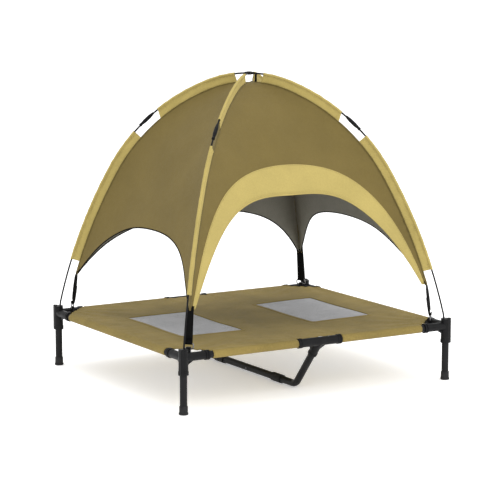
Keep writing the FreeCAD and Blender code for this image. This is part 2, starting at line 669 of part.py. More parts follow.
def bed_sheet():
    """Flat cloth with its hems round the rails, notched at the corners and tees."""
    low = "rail_height + tube_dia / 2 + hem_gap + 0.2"
    solids = [block("cloth", "leg_pitch_long", "leg_pitch_short", "sheet_gauge",
                    ("-leg_pitch_long / 2", "-leg_pitch_short / 2", low))]
    cuts = []
    hem_dia = "tube_dia + 2 * hem_gap + 2 * hem_gauge"
    bore_dia = "tube_dia + 2 * hem_gap"
    cut_side = "( arm_reach + corner_cut ) * sqrt( 2 )"
    for side in (-1, 1):
        for end in (-1, 1):
            label = "%d%d" % (side + 1, end + 1)
            first = "tee_length / 2 + hem_clear"
            length = "leg_pitch_long / 2 - arm_reach - 2 * hem_clear - tee_length / 2"
            solids.append(cylinder("long_hem_" + label, hem_dia, length,
                                   ("%d * ( %s )" % (end, first), "%d * leg_pitch_short / 2" % side,
                                    "rail_height"), Vector(end, 0, 0)))
            corner = block("corner_cut_" + label, cut_side, cut_side, "sheet_gauge + 2",
                           ("%d * leg_pitch_long / 2" % end,
                            "%d * leg_pitch_short / 2 - arm_reach - corner_cut" % side,
                            low + " - 1"), 45)
            cuts.append(corner)
        span = "leg_pitch_short - 2 * arm_reach - 2 * hem_clear"
        start = "arm_reach + hem_clear - leg_pitch_short / 2"
        solids.append(cylinder("short_hem_%d" % (side + 1), hem_dia, span,
                               ("%d * leg_pitch_long / 2" % side, start, "rail_height"),
                               ALONG_Y))
        cuts.append(cylinder("long_bore_%d" % (side + 1), bore_dia, "leg_pitch_long",
                             ("-leg_pitch_long / 2", "%d * leg_pitch_short / 2" % side,
                              "rail_height"), ALONG_X))
        cuts.append(cylinder("short_bore_%d" % (side + 1), bore_dia, "leg_pitch_short",
                             ("%d * leg_pitch_long / 2" % side, "-leg_pitch_short / 2",
                              "rail_height"), ALONG_Y))
        cuts.append(block("tee_notch_%d" % (side + 1), "tee_length + 2 * hem_clear",
                          "2 * tee_notch", "sheet_gauge + 2",
                          ("-tee_length / 2 - hem_clear",
                           "%d * leg_pitch_short / 2 - tee_notch" % side, low + " - 1")))
        cuts.append(block("window_%d" % (side + 1), "window_width", "window_length",
                          "sheet_gauge + 2",
                          ("%d * window_offset - window_width / 2" % side,
                           "-window_length / 2", low + " - 1")))
    return cut("bed_sheet", fuse("bed_solids", solids), cuts)


def mesh_windows():
    panels = []
    low = "rail_height + tube_dia / 2 + hem_gap + 0.2 + ( sheet_gauge - mesh_gauge ) / 2"
    for side in (-1, 1):
        panels.append(block("mesh_%d" % (side + 1), "window_width", "window_length", "mesh_gauge",
                            ("%d * window_offset - window_width / 2" % side,
                             "-window_length / 2", low)))
    group = doc.addObject("Part::Compound", "mesh_windows")
    group.Links = panels
    return group


# ---------------------------------------------------------------- straps

def lug_radius():
    corner = math.hypot(size("leg_pitch_long"), size("leg_pitch_short")) / 2
    return corner - size("lug_inset")


def lug_axis_height():
    return size("rail_height") + size("lug_rise")


def strap_frame():
    """Own X outwards, own Z along the strap, from the lug axis to the canopy tip."""
    tip = pole.point(tip_lean(), size("sleeve_fin"))
    base = Vector(lug_radius(), 0, lug_axis_height())
    along = tip - base
    lean = Rotation(UP, along)
    return Placement(base, lean), along.Length


def strap_ring():
    """Rectangular wire ring with round corners; its lower bar turns in the lug."""
    wide, tall, corner = size("ring_width"), size("ring_height"), size("ring_corner")
    sagitta = corner * (1 - math.sqrt(0.5))
    half = wide / 2
    lower_left = Vector(0, -half + corner, 0)
    edges = [
        line(lower_left, Vector(0, half - corner, 0)),
        Part.Arc(Vector(0, half - corner, 0), Vector(0, half - sagitta, sagitta),
                 Vector(0, half, corner)).toShape(),
        line(Vector(0, half, corner), Vector(0, half, tall - corner)),
        Part.Arc(Vector(0, half, tall - corner), Vector(0, half - sagitta, tall - sagitta),
                 Vector(0, half - corner, tall)).toShape(),
        line(Vector(0, half - corner, tall), Vector(0, -half + corner, tall)),
        Part.Arc(Vector(0, -half + corner, tall), Vector(0, -half + sagitta, tall - sagitta),
                 Vector(0, -half, tall - corner)).toShape(),
        line(Vector(0, -half, tall - corner), Vector(0, -half, corner)),
        Part.Arc(Vector(0, -half, corner), Vector(0, -half + sagitta, sagitta),
                 lower_left).toShape(),
    ]
    return pipe(edges, size("ring_wire"))


def strap_loop():
    """Webbing loop round the ring's upper bar, with a short front leg and a long back leg."""
    bar = size("ring_height")
    inner = size("ring_wire") / 2 + 0.3
    outer = inner + size("webbing_gauge")
    front = bar + size("loop_front")
    back = bar + size("loop_back")
    spots = [Vector(outer, 0, front), Vector(outer, 0, bar), Vector(-outer, 0, bar),
             Vector(-outer, 0, back), Vector(-inner, 0, back), Vector(-inner, 0, bar),
             Vector(inner, 0, bar), Vector(inner, 0, front)]
    edges = [
        line(spots[0], spots[1]),
        Part.Arc(spots[1], Vector(0, 0, bar - outer), spots[2]).toShape(),
        line(spots[2], spots[3]),
        line(spots[3], spots[4]),
        line(spots[4], spots[5]),
        Part.Arc(spots[5], Vector(0, 0, bar - inner), spots[6]).toShape(),
        line(spots[6], spots[7]),
        line(spots[7], spots[0]),
    ]
    width = size("webbing_width")
    loop = Part.Face(Part.Wire(edges)).extrude(ALONG_Y * width)
    loop.translate(Vector(0, -width / 2, 0))
    return loop


def canopy_strap(length):
    """Webbing from the canopy tip; it lies against the loop's long leg."""
    inner = size("ring_wire") / 2 + 0.3 - size("webbing_gap")
    gauge = size("webbing_gauge")
    start = size("ring_height") + size("strap_clear")
    width = size("webbing_width")
    return Part.makeBox(gauge, width, length - start - 1, Vector(-inner, -width / 2, start))


# ---------------------------------------------------------------- canopy

def tip_lean():
    return pole.lean_at_height(size("rail_height") + size("tip_rise"), size("sleeve_fin"))


def canopy_slab(squeeze):
    """Thick profile of a panel, wide along Y; squeeze turns diagonal reach into panel reach."""
    inset = size("sleeve_fin")
    gauge = size("canopy_gauge")
    first, last = tip_lean(), math.pi / 2
    outer = pole.edges(first, last, inset)
    inner = pole.edges(first, last, inset + gauge)
    ends = [line(pole.point(angle, inset), pole.point(angle, inset + gauge))
            for angle in (first, last)]
    face = flat_face(outer + inner + ends)
    stretch = FreeCAD.Matrix()
    stretch.scale(squeeze, 1, 1)
    face = face.transformGeometry(stretch)
    width = 2 * size("leg_pitch_long")
    slab = face.extrude(ALONG_Y * width)
    slab.translate(Vector(0, -width / 2, 0))
    return slab


def wedge(half_angle):
    """Everything between the two diagonal planes on the +X side, less the seam gap."""
    reach = 2 * size("leg_pitch_long")
    tip = size("seam_gap") / math.sin(half_angle)
    side = (reach - tip) * math.tan(half_angle)
    height = 2 * pole.apex
    outline = [Vector(tip, 0, 0), Vector(reach, -side, 0), Vector(reach, side, 0),
               Vector(tip, 0, 0)]
    return Part.Face(Part.makePolygon(outline)).extrude(UP * height)


def arch(half_width, rise, side_pull, side_lean, top_pull):
    """Everything inside an arched outline in the YZ plane, on the +X side."""
    tip = size("rail_height") + size("tip_rise")
    top = size("rail_height") + rise
    lean = math.radians(side_lean)
    edges = []
    for side in (-1, 1):
        curve = Part.BezierCurve()
        curve.setPoles([
            Vector(0, side * half_width, tip),
            Vector(0, side * (half_width - side_pull * math.sin(lean)),
                   tip + side_pull * math.cos(lean)),
            Vector(0, side * top_pull, top),
            Vector(0, 0, top),
        ])
        edges.append(curve.toShape())
    low = tip / 2
    edges.append(line(Vector(0, -half_width, tip), Vector(0, -half_width, low)))
    edges.append(line(Vector(0, -half_width, low), Vector(0, half_width, low)))
    edges.append(line(Vector(0, half_width, low), Vector(0, half_width, tip)))
    prism = flat_face(edges).extrude(ALONG_X * 2 * size("leg_pitch_long"))
    return prism


def arch_sizes(stem):
    names = ("_arch_rise", "_side_pull", "_side_lean", "_top_pull")
    return [size(stem + name) for name in names]


def canopy_panels():
    """Four curved panels sewn along the diagonals; the front one has a band round its arch."""
    corner_angle = math.atan2(size("leg_pitch_short"), size("leg_pitch_long"))
    tip_reach = pole.point(tip_lean(), size("sleeve_fin")).x
    side_half = tip_reach * math.sin(corner_angle) - size("tab_width")
    long_half = tip_reach * math.cos(corner_angle) - size("tab_width")
    front_half = tip_reach * math.cos(corner_angle) - size("front_tab_width")
    side_cloth = canopy_slab(math.cos(corner_angle)).common(wedge(corner_angle))
    long_cloth = canopy_slab(math.sin(corner_angle)).common(wedge(math.pi / 2 - corner_angle))
    side_panel = side_cloth.cut(arch(side_half, *arch_sizes("side")))
    back_panel = long_cloth.cut(arch(long_half, *arch_sizes("back")))
    band_outline = arch(long_half, size("band_rise"), size("band_side_pull"),
                        size("band_side_lean"), size("band_top_pull"))
    front_panel = long_cloth.cut(band_outline)
    band = long_cloth.common(band_outline).cut(arch(front_half, *arch_sizes("front")))
    to_back = Placement(ORIGIN, Rotation(UP, 90))
    to_front = Placement(ORIGIN, Rotation(UP, -90))
    to_left = Placement(ORIGIN, Rotation(UP, 180))
    for node, cloth, place in (("canopy_panel_right", side_panel, Placement()),
                               ("canopy_panel_left", side_panel, to_left),
                               ("canopy_panel_back", back_panel, to_back),
                               ("canopy_panel_front", front_panel, to_front),
                               ("canopy_front_band", band, to_front)):
        keep(feature(node, cloth, place), node)


def pole_sleeve(first, last):
    """Cloth sleeve: a hem round the pole and a flat fin in to the canopy seam."""
    hem_inner = size("pole_dia") + 0.6
    hem_outer = hem_inner + 2 * size("fin_hem")
    seam = size("sleeve_fin") - size("fin_seam_gap")
    gauge = size("fin_gauge")
    outer = pole.edges(first, last, size("pole_dia") / 2)
    inner = pole.edges(first, last, seam)
    ends = [line(pole.point(angle, size("pole_dia") / 2), pole.point(angle, seam))
            for angle in (first, last)]
    fin = flat_face(outer + inner + ends).extrude(ALONG_Y * gauge)
    fin.translate(Vector(0, -gauge / 2, 0))
    path = pole.edges(first, last)
    return fin.fuse(pipe(path, hem_outer)).cut(pipe(path, hem_inner))


def joint_leans():
    """Leans at the joint's centre and at the two pole ends inside it."""
    place = size("pole_joint_place")
    half_gap = size("pole_break_gap") / 2
    return [pole.lean_from_hub(place + shift) for shift in (0, half_gap, -half_gap)]


def lower_pole():
    foot = Vector(pole.foot, 0, pole.mouth - size("pole_socket_depth") + 0.3)
    edges = [line(foot, Vector(pole.foot, 0, pole.mouth))]
    edges += pole.edges(0.0, joint_leans()[1])
    return pipe(edges, size("pole_dia"))


def upper_pole():
    edges = pole.edges(joint_leans()[2], pole.lean_from_hub(size("hub_stop")))
    return pipe(edges, size("pole_dia"))


def pole_joint():
    """Folding joint: a spindle-shaped moulding over the two pole ends."""
    half = "pole_joint_length / 2"
    lower_half = "0 - pole_joint_length / 2"
    body = turned("pole_joint_blank", [
        ("0", lower_half),
        ("pole_joint_end_dia / 2 + 1", lower_half),
        ("pole_joint_end_dia / 2 + 1", lower_half + " + 6"),
        ("pole_joint_end_dia / 2", lower_half + " + 8"),
        ("pole_joint_dia / 2", "-10"),
        ("pole_joint_dia / 2", "14"),
        ("pole_joint_end_dia / 2", half + " - 6"),
        ("pole_joint_end_dia / 2 - 1", half),
        ("0", half),
    ])
    lean = joint_leans()[0]
    centre = pole.point(lean)
    tilt = Rotation(Vector(0, -1, 0), math.degrees(lean))
    body.Placement = Placement(centre, tilt)
    reach = size("pole_joint_length")
    place = size("pole_joint_place")
    bore_dia = size("pole_dia") + 2 * size("pole_joint_gap")
    edges = pole.edges(pole.lean_from_hub(place + reach), pole.lean_from_hub(place - reach))
    return cut("pole_joint_plain", body, [feature("pole_joint_bore", pipe(edges, bore_dia))])


def apex_hub():
    """Small round hub; each upper pole ends in one of its four sockets."""
    half = "hub_height / 2"
    centre = "rail_height + apex_rise"
    disc = turned("hub_disc", [
        ("0", "0 - hub_height / 2"),
        ("hub_dia / 2 - 1.5", "0 - hub_height / 2"),
        ("hub_dia / 2", "0 - hub_height / 2 + 1.5"),
        ("hub_dia / 2", half + " - 1.5"),
        ("hub_dia / 2 - 1.5", half),
        ("0", half),
    ])
    bind_place(disc, ("0", "0", centre))
    angle = corner_turn()
    spokes = []
    bores = []
    for quarter, turn in enumerate((angle, 180 - angle, 180 + angle, 360 - angle)):
        way = Vector(math.cos(math.radians(turn)), math.sin(math.radians(turn)), 0)
        spokes.append(cylinder("hub_spoke_%d" % quarter, "hub_socket_dia", "hub_reach",
                               ("0", "0", centre), way))
        first = pole.lean_from_hub(size("hub_reach") * 2)
        last = pole.lean_from_hub(size("hub_stop") - EPS)
        bore = pipe(pole.edges(first, last), size("pole_dia") + 2 * size("pole_joint_gap"))
        bores.append(feature("hub_bore_%d" % quarter, bore,
                             Placement(ORIGIN, Rotation(UP, turn))))
    return cut("apex_hub", fuse("hub_solids", [disc] + spokes), bores)


def apex_tie():
    """Short webbing tie from the canopy's crown up to the pole."""
    place = size("tie_place")
    lean = pole.lean_from_hub(place)
    width = size("tie_width")
    gauge = size("tie_gauge")
    low = pole.point(lean, size("sleeve_fin")).z + size("tie_gap")
    high = pole.point(lean).z - size("pole_dia") / 2 - size("tie_gap")
    return Part.makeBox(width, gauge, high - low, Vector(place - width / 2, -gauge / 2, low))


def corner_turn():
    return math.degrees(math.atan2(size("leg_pitch_short"), size("leg_pitch_long")))


# ---------------------------------------------------------------- assembly

fill_sheet()
pole = PolePath()
diagonal = Placement(ORIGIN, Rotation(UP, corner_turn()))

at_four_corners("corner_connector", corner_connector(diagonal))
at_four_corners("leg_tube", tube("leg_tube", "rail_height - leg_stop - foot_floor",
                                 CORNER + ("foot_floor",)))
four_as_one("leg_feet", rubber_foot())

long_rail = tube("long_rail", "leg_pitch_long / 2 - rail_stop - tee_stop",
                 ("tee_stop", HALF_SHORT, "rail_height"), ALONG_X)
at_four_corners("long_rail", long_rail)
side_rail = tube("side_rail", "leg_pitch_short - 2 * rail_stop",
                 (HALF_LONG, "rail_stop - leg_pitch_short / 2", "rail_height"), ALONG_Y)
keep(side_rail, "side_rail_right")
keep(mirrored("side_rail_mirror", side_rail, ALONG_X), "side_rail_left")

tee = tee_connector()
keep(tee, "tee_connector_back")
keep(mirrored("tee_mirror", tee, ALONG_Y), "tee_connector_front")
brace_back, brace_front = brace_halves()
keep(brace_back, "centre_brace_back")
keep(brace_front, "centre_brace_front")
keep(floor_pads(), "brace_floor_pads")
keep(snap_button(), "snap_button")
keep(leaf_spring(), "button_leaf_spring")

keep(bed_sheet(), "bed_sheet")
keep(mesh_windows(), "mesh_windows")

strap_place, strap_length = strap_frame()
strap_place = diagonal.multiply(strap_place)
at_four_corners("strap_ring", feature("strap_ring", strap_ring(), strap_place))
at_four_corners("strap_loop", feature("strap_loop", strap_loop(), strap_place))
at_four_corners("canopy_strap", feature("canopy_strap", canopy_strap(strap_length), strap_place))

at_four_corners("pole_lower", feature("pole_lower", lower_pole(), diagonal))
at_four_corners("pole_upper", feature("pole_upper", upper_pole(), diagonal))
joint_source = pole_joint()
joint_source.Placement = diagonal
at_four_corners("pole_joint", joint_source)
keep(apex_hub(), "apex_hub")
keep(feature("apex_tie", apex_tie(), Placement(ORIGIN, Rotation(UP, -corner_turn()))), "apex_tie")

canopy_panels()
lower_start = pole.lean_at_height(size("rail_height") + size("lower_fin_rise"))
lower_sleeve = pole_sleeve(lower_start, pole.lean_from_hub(size("lower_fin_top")))
at_four_corners("pole_sleeve_lower", feature("sleeve_lower", lower_sleeve, diagonal))
upper_sleeve = pole_sleeve(pole.lean_from_hub(size("upper_fin_bottom")),
                           pole.lean_from_hub(size("upper_fin_top")))
four_as_one("pole_sleeves_upper", feature("sleeve_upper", upper_sleeve, diagonal))

doc.recompute()


def check_document():
    """Stop on any failed object or bad sub-part before anything is written."""
    for item in doc.Objects:
        if "Invalid" in item.State or "Error" in item.State:
            raise RuntimeError("%s failed: %s" % (item.Name, item.State))
    for item in parts:
        if item.Shape.isNull() or not item.Shape.isValid() or not item.Shape.Solids:
            raise RuntimeError("%s has no valid solid" % item.Label)
    labels = [item.Label for item in parts]
    if len(set(labels)) != len(labels):
        raise RuntimeError("two sub-parts share a name")


check_document()
os.makedirs("parts", exist_ok=True)
for item in parts:
    item.Shape.exportStep("parts/%s.step" % item.Label)
    print("%-32s solids %d  volume %.1f" % (item.Label, len(item.Shape.Solids),
                                            item.Shape.Volume))
print("sub-parts:", len(parts))
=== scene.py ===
import math

import bmesh
import bpy
import numpy as np
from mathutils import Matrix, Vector


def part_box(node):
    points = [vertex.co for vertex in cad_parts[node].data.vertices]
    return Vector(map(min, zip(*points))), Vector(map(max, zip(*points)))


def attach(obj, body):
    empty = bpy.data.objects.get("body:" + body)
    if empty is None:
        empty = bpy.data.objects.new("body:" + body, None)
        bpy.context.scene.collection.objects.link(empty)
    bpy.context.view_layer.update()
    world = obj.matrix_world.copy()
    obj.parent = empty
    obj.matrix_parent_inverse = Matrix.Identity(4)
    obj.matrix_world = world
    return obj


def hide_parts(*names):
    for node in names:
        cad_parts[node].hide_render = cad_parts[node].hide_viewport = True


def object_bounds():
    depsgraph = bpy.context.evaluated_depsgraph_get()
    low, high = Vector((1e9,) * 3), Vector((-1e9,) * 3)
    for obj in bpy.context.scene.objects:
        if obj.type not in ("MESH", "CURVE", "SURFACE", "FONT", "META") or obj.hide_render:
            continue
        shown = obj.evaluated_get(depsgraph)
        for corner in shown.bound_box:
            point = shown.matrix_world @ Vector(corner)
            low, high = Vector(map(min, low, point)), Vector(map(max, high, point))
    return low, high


# Raised pet cot with a domed sun canopy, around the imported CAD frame.  Metres, row frame.

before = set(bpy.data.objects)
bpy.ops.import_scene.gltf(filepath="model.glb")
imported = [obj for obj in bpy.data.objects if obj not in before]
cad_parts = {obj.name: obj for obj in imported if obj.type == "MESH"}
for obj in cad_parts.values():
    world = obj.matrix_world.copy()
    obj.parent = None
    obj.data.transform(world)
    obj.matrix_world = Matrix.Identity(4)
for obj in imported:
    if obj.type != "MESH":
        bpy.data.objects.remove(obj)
cad_low, cad_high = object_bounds()

UP = np.array((0.0, 0.0, 1.0))
CORNERS = {"back_right": (1, 1), "front_right": (1, -1), "back_left": (-1, 1), "front_left": (-1, -1)}


def centre(node):
    low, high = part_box(node)
    return (low + high) / 2


# ---------------------------------------------------------------- places, from the frame

LEG_X, LEG_Y = centre("leg_tube_back_right").xy
RAIL_Z = centre("side_rail_right").z
RAIL_RADIUS = (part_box("side_rail_right")[1].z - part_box("side_rail_right")[0].z) / 2
APEX_Z = centre("apex_hub").z
TIP_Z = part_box("canopy_panel_right")[0].z
CORNER = math.hypot(LEG_X, LEG_Y)
COS, SIN = LEG_X / CORNER, LEG_Y / CORNER

POLE_DIA = 0.006
FIN = 0.031                      # pole axis to canopy seam
CANOPY_GAUGE = 0.0009
ARCHES = {                       # top height above the rail, side pull, side lean, top pull
    "front": (0.496, 0.410, 27.0, 0.146),
    "band": (0.602, 0.345, 17.7, 0.240),
    "back": (0.358, 0.147, 36.0, 0.270),
    "side": (0.362, 0.200, 39.5, 0.210),
}
TABS = {"front": 0.020, "band": 0.009, "back": 0.009, "side": 0.009}   # canopy tip beside an arch
SAG = {"front": 0.045, "back": 0.040, "side": 0.035}                   # pull of a panel's middle


class PolePath:
    """The bent pole in its upright diagonal plane; a place on it is the lean of the pole there."""

    LEANS = np.radians((0, 13, 29, 68, 90))
    FOOT_INSET, MOUTH_RISE, FOOT_BEND, CROWN = 0.0067, 0.027, 0.080, 0.400

    def __init__(self):
        across = np.cos(self.LEANS[:-1]) - np.cos(self.LEANS[1:])
        climb = np.sin(self.LEANS[1:]) - np.sin(self.LEANS[:-1])
        foot, mouth = CORNER - self.FOOT_INSET, RAIL_Z + self.MOUTH_RISE
        run = foot - self.FOOT_BEND * across[0] - self.CROWN * across[3]
        rise = APEX_Z - mouth - self.FOOT_BEND * climb[0] - self.CROWN * climb[3]
        scale = across[1] * climb[2] - across[2] * climb[1]
        lower = (run * climb[2] - across[2] * rise) / scale
        upper = (across[1] * rise - run * climb[1]) / scale
        self.radius = np.array((self.FOOT_BEND, lower, upper, self.CROWN))
        ends_x = foot - np.concatenate(([0.0], np.cumsum(self.radius * across)))
        ends_z = mouth + np.concatenate(([0.0], np.cumsum(self.radius * climb)))
        self.x = ends_x[:-1] - self.radius * np.cos(self.LEANS[:-1])
        self.z = ends_z[:-1] - self.radius * np.sin(self.LEANS[:-1])
        self.table = np.linspace(0, math.pi / 2, 3001)
        self.pole_length = self.lengths(0.0)
        self.seam_length = self.lengths(FIN)
        self.seam_height = self.at(self.table, FIN)[1]

    def at(self, lean, inset=0.0):
        lean = np.asarray(lean, float)
        arc = np.clip(np.searchsorted(self.LEANS, lean) - 1, 0, 3)
        reach = self.radius[arc] - inset
        return self.x[arc] + reach * np.cos(lean), self.z[arc] + reach * np.sin(lean)

    def lengths(self, inset):
        x, z = self.at(self.table, inset)
        return np.concatenate(([0.0], np.cumsum(np.hypot(np.diff(x), np.diff(z)))))

    def lean_from_hub(self, distance):
        return np.interp(self.pole_length[-1] - np.asarray(distance), self.pole_length, self.table)

    def lean_at_seam_height(self, height):
        return np.interp(height, self.seam_height, self.table)

    def seam_place(self, lean):
        return np.interp(lean, self.table, self.seam_length)

    def lean_at_seam_place(self, place):
        return np.interp(place, self.seam_length, self.table)


pole = PolePath()
TIP_LEAN = float(pole.lean_at_seam_height(TIP_Z))
TIP_PLACE = float(pole.seam_place(TIP_LEAN))
SEAM_END = float(pole.seam_length[-1])


def waves(u, v, seed, count=7):
    """Smooth irregular ripples of about unit height; u and v are in ripple lengths."""
    own = np.random.default_rng(seed)
    total = np.zeros(np.broadcast(u, v).shape)
    for _ in range(count):
        turn, phase = own.uniform(0, 2 * math.pi, 2)
        pitch = own.uniform(0.6, 1.6)
        total = total + np.sin(2 * math.pi * pitch * (u * math.cos(turn) + v * math.sin(turn)) + phase)
    return total / math.sqrt(count / 2) / 1.6


# ---------------------------------------------------------------- meshes

def place_object(name, data):
    obj = bpy.data.objects.new(name, data)
    bpy.context.scene.collection.objects.link(obj)
    return obj


def piece_of(mesh, looks, body="canopy"):
    """A mesh as a named piece that rides on a body."""
    obj = place_object(mesh.name, mesh)
    for look in looks:
        mesh.materials.append(MAT[look])
    mesh.polygons.foreach_set("use_smooth", [True] * len(mesh.polygons))
    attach(obj, body)
    return obj


def new_piece(name, verts, faces, slot, *looks, body="canopy"):
    mesh = bpy.data.meshes.new(name)
    mesh.from_pydata([tuple(map(float, v)) for v in verts], [], [tuple(map(int, f)) for f in faces])
    mesh.update()
    return piece_of(mesh, looks, body)


def gathered(name, parts, slot, look="thread", body="canopy"):
    return new_piece(name, parts.verts, parts.faces, slot, look, body=body)


def grid_faces(rows, columns, start=0, wrap=False):
    """Quads of a rows x columns grid of points, counted row by row."""
    last = columns if wrap else columns - 1
    out = []
    for row in range(rows - 1):
        for column in range(last):
            right = (column + 1) % columns
            a, b = start + row * columns + column, start + row * columns + right
            out.append((a, b, b + columns, a + columns))
    return out


class Gather:
    """Collects parts of one mesh."""

    def __init__(self):
        self.verts, self.faces = [], []

    def add(self, verts, faces):
        start = len(self.verts)
        self.verts.extend(verts)
        self.faces.extend(tuple(start + i for i in face) for face in faces)


def unit(v):
    return v / np.maximum(np.linalg.norm(v, axis=-1, keepdims=True), 1e-12)


def headings(points, closed=False):
    """Unit direction of travel at each point."""
    if closed:
        return unit(np.roll(points, -1, 0) - np.roll(points, 1, 0))
    return unit(np.gradient(points, axis=0))


def swept(points, normals, profile, closed=False, caps=True):
    """A closed profile of (side, lift) points carried along a path; lift is along the normal."""
    points = np.asarray(points, float)
    normals = np.broadcast_to(normals, points.shape)
    along = headings(points, closed)
    side = unit(np.cross(normals, along))
    lift = unit(np.cross(along, side))
    profile = np.asarray(profile, float)
    if profile.ndim == 2:
        profile = np.repeat(profile[None], len(points), 0)
    rings = (points[:, None] + side[:, None] * profile[..., :1] + lift[:, None] * profile[..., 1:])
    count = profile.shape[1]
    if closed:
        rings = np.concatenate((rings, rings[:1]))
    verts = list(rings.reshape(-1, 3))
    faces = grid_faces(len(rings), count, wrap=True)
    if closed:
        size = (len(rings) - 1) * count
        verts = verts[:size]
        faces = [tuple(i % size for i in face) for face in faces]
    elif caps:
        faces.append(tuple(reversed(range(count))))
        faces.append(tuple(range(len(verts) - count, len(verts))))
    return verts, faces


def rounded_flat(width, height, shift=0.0, lift=0.0):
    """Flat bar profile with rounded edges."""
    w, h = width / 2, height / 2
    bulge = min(h, w) * 0.55
    shape = [(-w + bulge, -h), (w - bulge, -h), (w, -h * 0.35), (w, h * 0.35), (w - bulge, h),
             (-w + bulge, h), (-w, h * 0.35), (-w, -h * 0.35)]
    return [(x + shift, y + lift) for x, y in shape]


def stitches(gather, points, normals, pitch=0.0075, length=0.0048, radius=0.00042, lift=0.0002):
    """A run of thread stitches lying on a surface along a path."""
    points = np.asarray(points, float)
    normals = np.broadcast_to(normals, points.shape)
    place = np.concatenate(([0.0], np.cumsum(np.linalg.norm(np.diff(points, axis=0), axis=1))))
    if place[-1] < length:
        return
    spots = np.arange(pitch / 2, place[-1] - length / 2, pitch)
    for spot in spots:
        ends = [np.array([np.interp(spot + k * length / 2, place, points[:, i]) for i in range(3)])
                for k in (-1, 1)]
        up = unit(np.array([np.interp(spot, place, normals[:, i]) for i in range(3)]))
        along = unit(ends[1] - ends[0])
        side = np.cross(up, along)
        verts = [ends[0] - up * radius * 0.6, ends[1] - up * radius * 0.6]
        for share in (0.25, 0.75):
            middle = ends[0] * (1 - share) + ends[1] * share + up * lift
            verts += [middle + side * radius, middle + up * radius, middle - side * radius,
                      middle - up * radius]
        faces = [(0, 2 + (k + 1) % 4, 2 + k) for k in range(4)]
        faces += [(2 + k, 2 + (k + 1) % 4, 6 + (k + 1) % 4, 6 + k) for k in range(4)]
        faces += [(1, 6 + k, 6 + (k + 1) % 4) for k in range(4)]
        gather.add(verts, faces)


def weld(obj, distance=0.0002):
    shape = bmesh.new()
    shape.from_mesh(obj.data)
    bmesh.ops.remove_doubles(shape, verts=shape.verts, dist=distance)
    bmesh.ops.dissolve_degenerate(shape, dist=1e-5, edges=shape.edges)
    shape.to_mesh(obj.data)
    shape.free()
    obj.data.polygons.foreach_set("use_smooth", [True] * len(obj.data.polygons))
    obj.data.update()


def thicken(obj, thickness, offset=0.0, inner_slot=0):
    solid = obj.modifiers.new("thickness", "SOLIDIFY")
    solid.thickness = thickness
    solid.offset = offset
    solid.use_even_offset = False
    solid.material_offset = inner_slot
    return solid


# ---------------------------------------------------------------- materials

WAVE_PERIOD = 0.314              # wave texture scale times the band pitch


class Shader:
    """Small helper that builds one procedural material."""

    def __init__(self, name, **sockets):
        self.material = bpy.data.materials.new(name)
        self.material.use_nodes = True
        self.nodes = self.material.node_tree.nodes
        self.links = self.material.node_tree.links
        self.main = self.nodes["Principled BSDF"]
        for socket, value in sockets.items():
            self.main.inputs[socket.replace("_", " ")].default_value = value
        self.coords = self.nodes.new("ShaderNodeTexCoord")
        self.bump = None

    def link(self, out, into):
        self.links.new(out, into)

    def add(self, kind, **values):
        """A node with these input values; an underscore stands for a space."""
        node = self.nodes.new("ShaderNode" + kind)
        for socket, value in values.items():
            node.inputs[socket.replace("_", " ")].default_value = value
        return node

    def noise(self, scale, detail=4.0, rough=0.55, stretch=None):
        node = self.add("TexNoise", Scale=scale, Detail=detail, Roughness=rough)
        self.place(node, stretch)
        return node.outputs["Fac"]

    def place(self, node, stretch=None):
        source = self.coords.outputs["Object"]
        if stretch:
            mapping = self.add("Mapping", Scale=stretch)
            self.link(source, mapping.inputs["Vector"])
            source = mapping.outputs["Vector"]
        self.link(source, node.inputs["Vector"])

    def ribs(self, direction, pitch, warp=0.0):
        """Thread bands across one direction; pitch in metres."""
        node = self.add("TexWave", Scale=WAVE_PERIOD / pitch, Distortion=warp, Detail=1.0)
        node.bands_direction = direction
        self.place(node)
        return node.outputs["Fac"]

    def math(self, kind, a, b):
        node = self.add("Math")
        node.operation = kind
        for socket, value in zip(node.inputs, (a, b)):
            if isinstance(value, float):
                socket.default_value = value
            else:
                self.link(value, socket)
        return node.outputs[0]

    def ramp(self, source, stops):
        node = self.add("ValToRGB")
        ramp = node.color_ramp
        ramp.elements[0].position, ramp.elements[1].position = stops[0][0], stops[-1][0]
        ramp.elements[0].color, ramp.elements[1].color = colour(stops[0][1]), colour(stops[-1][1])
        for place, value in stops[1:-1]:
            ramp.elements.new(place).color = colour(value)
        self.link(source, node.inputs["Fac"])
        return node.outputs["Color"]

    def spread(self, source, low, high, first=0.3, last=0.7):
        """Roughness between two values."""
        node = self.add("MapRange", From_Min=first, From_Max=last, To_Min=low, To_Max=high)
        self.link(source, node.inputs["Value"])
        self.link(node.outputs["Result"], self.main.inputs["Roughness"])

    def relief(self, height, distance, strength=1.0):
        """Adds bump; later calls stack on earlier ones."""
        node = self.add("Bump", Distance=distance, Strength=strength)
        self.link(height, node.inputs["Height"])
        if self.bump:
            self.link(self.bump, node.inputs["Normal"])
        self.bump = node.outputs["Normal"]
        self.link(self.bump, self.main.inputs["Normal"])

    def paint(self, source, stops):
        self.link(self.ramp(source, stops), self.main.inputs["Base Color"])


def colour(value):
    """Display colour 0..255 to the linear value that the shader wants."""
    shares = np.array(value, float) / 255
    linear = np.where(shares <= 0.04045, shares / 12.92, ((shares + 0.055) / 1.055) ** 2.4)
    return (*map(float, linear), 1.0)


def scaled(value, share):
    return tuple(min(255.0, c * share) for c in value)


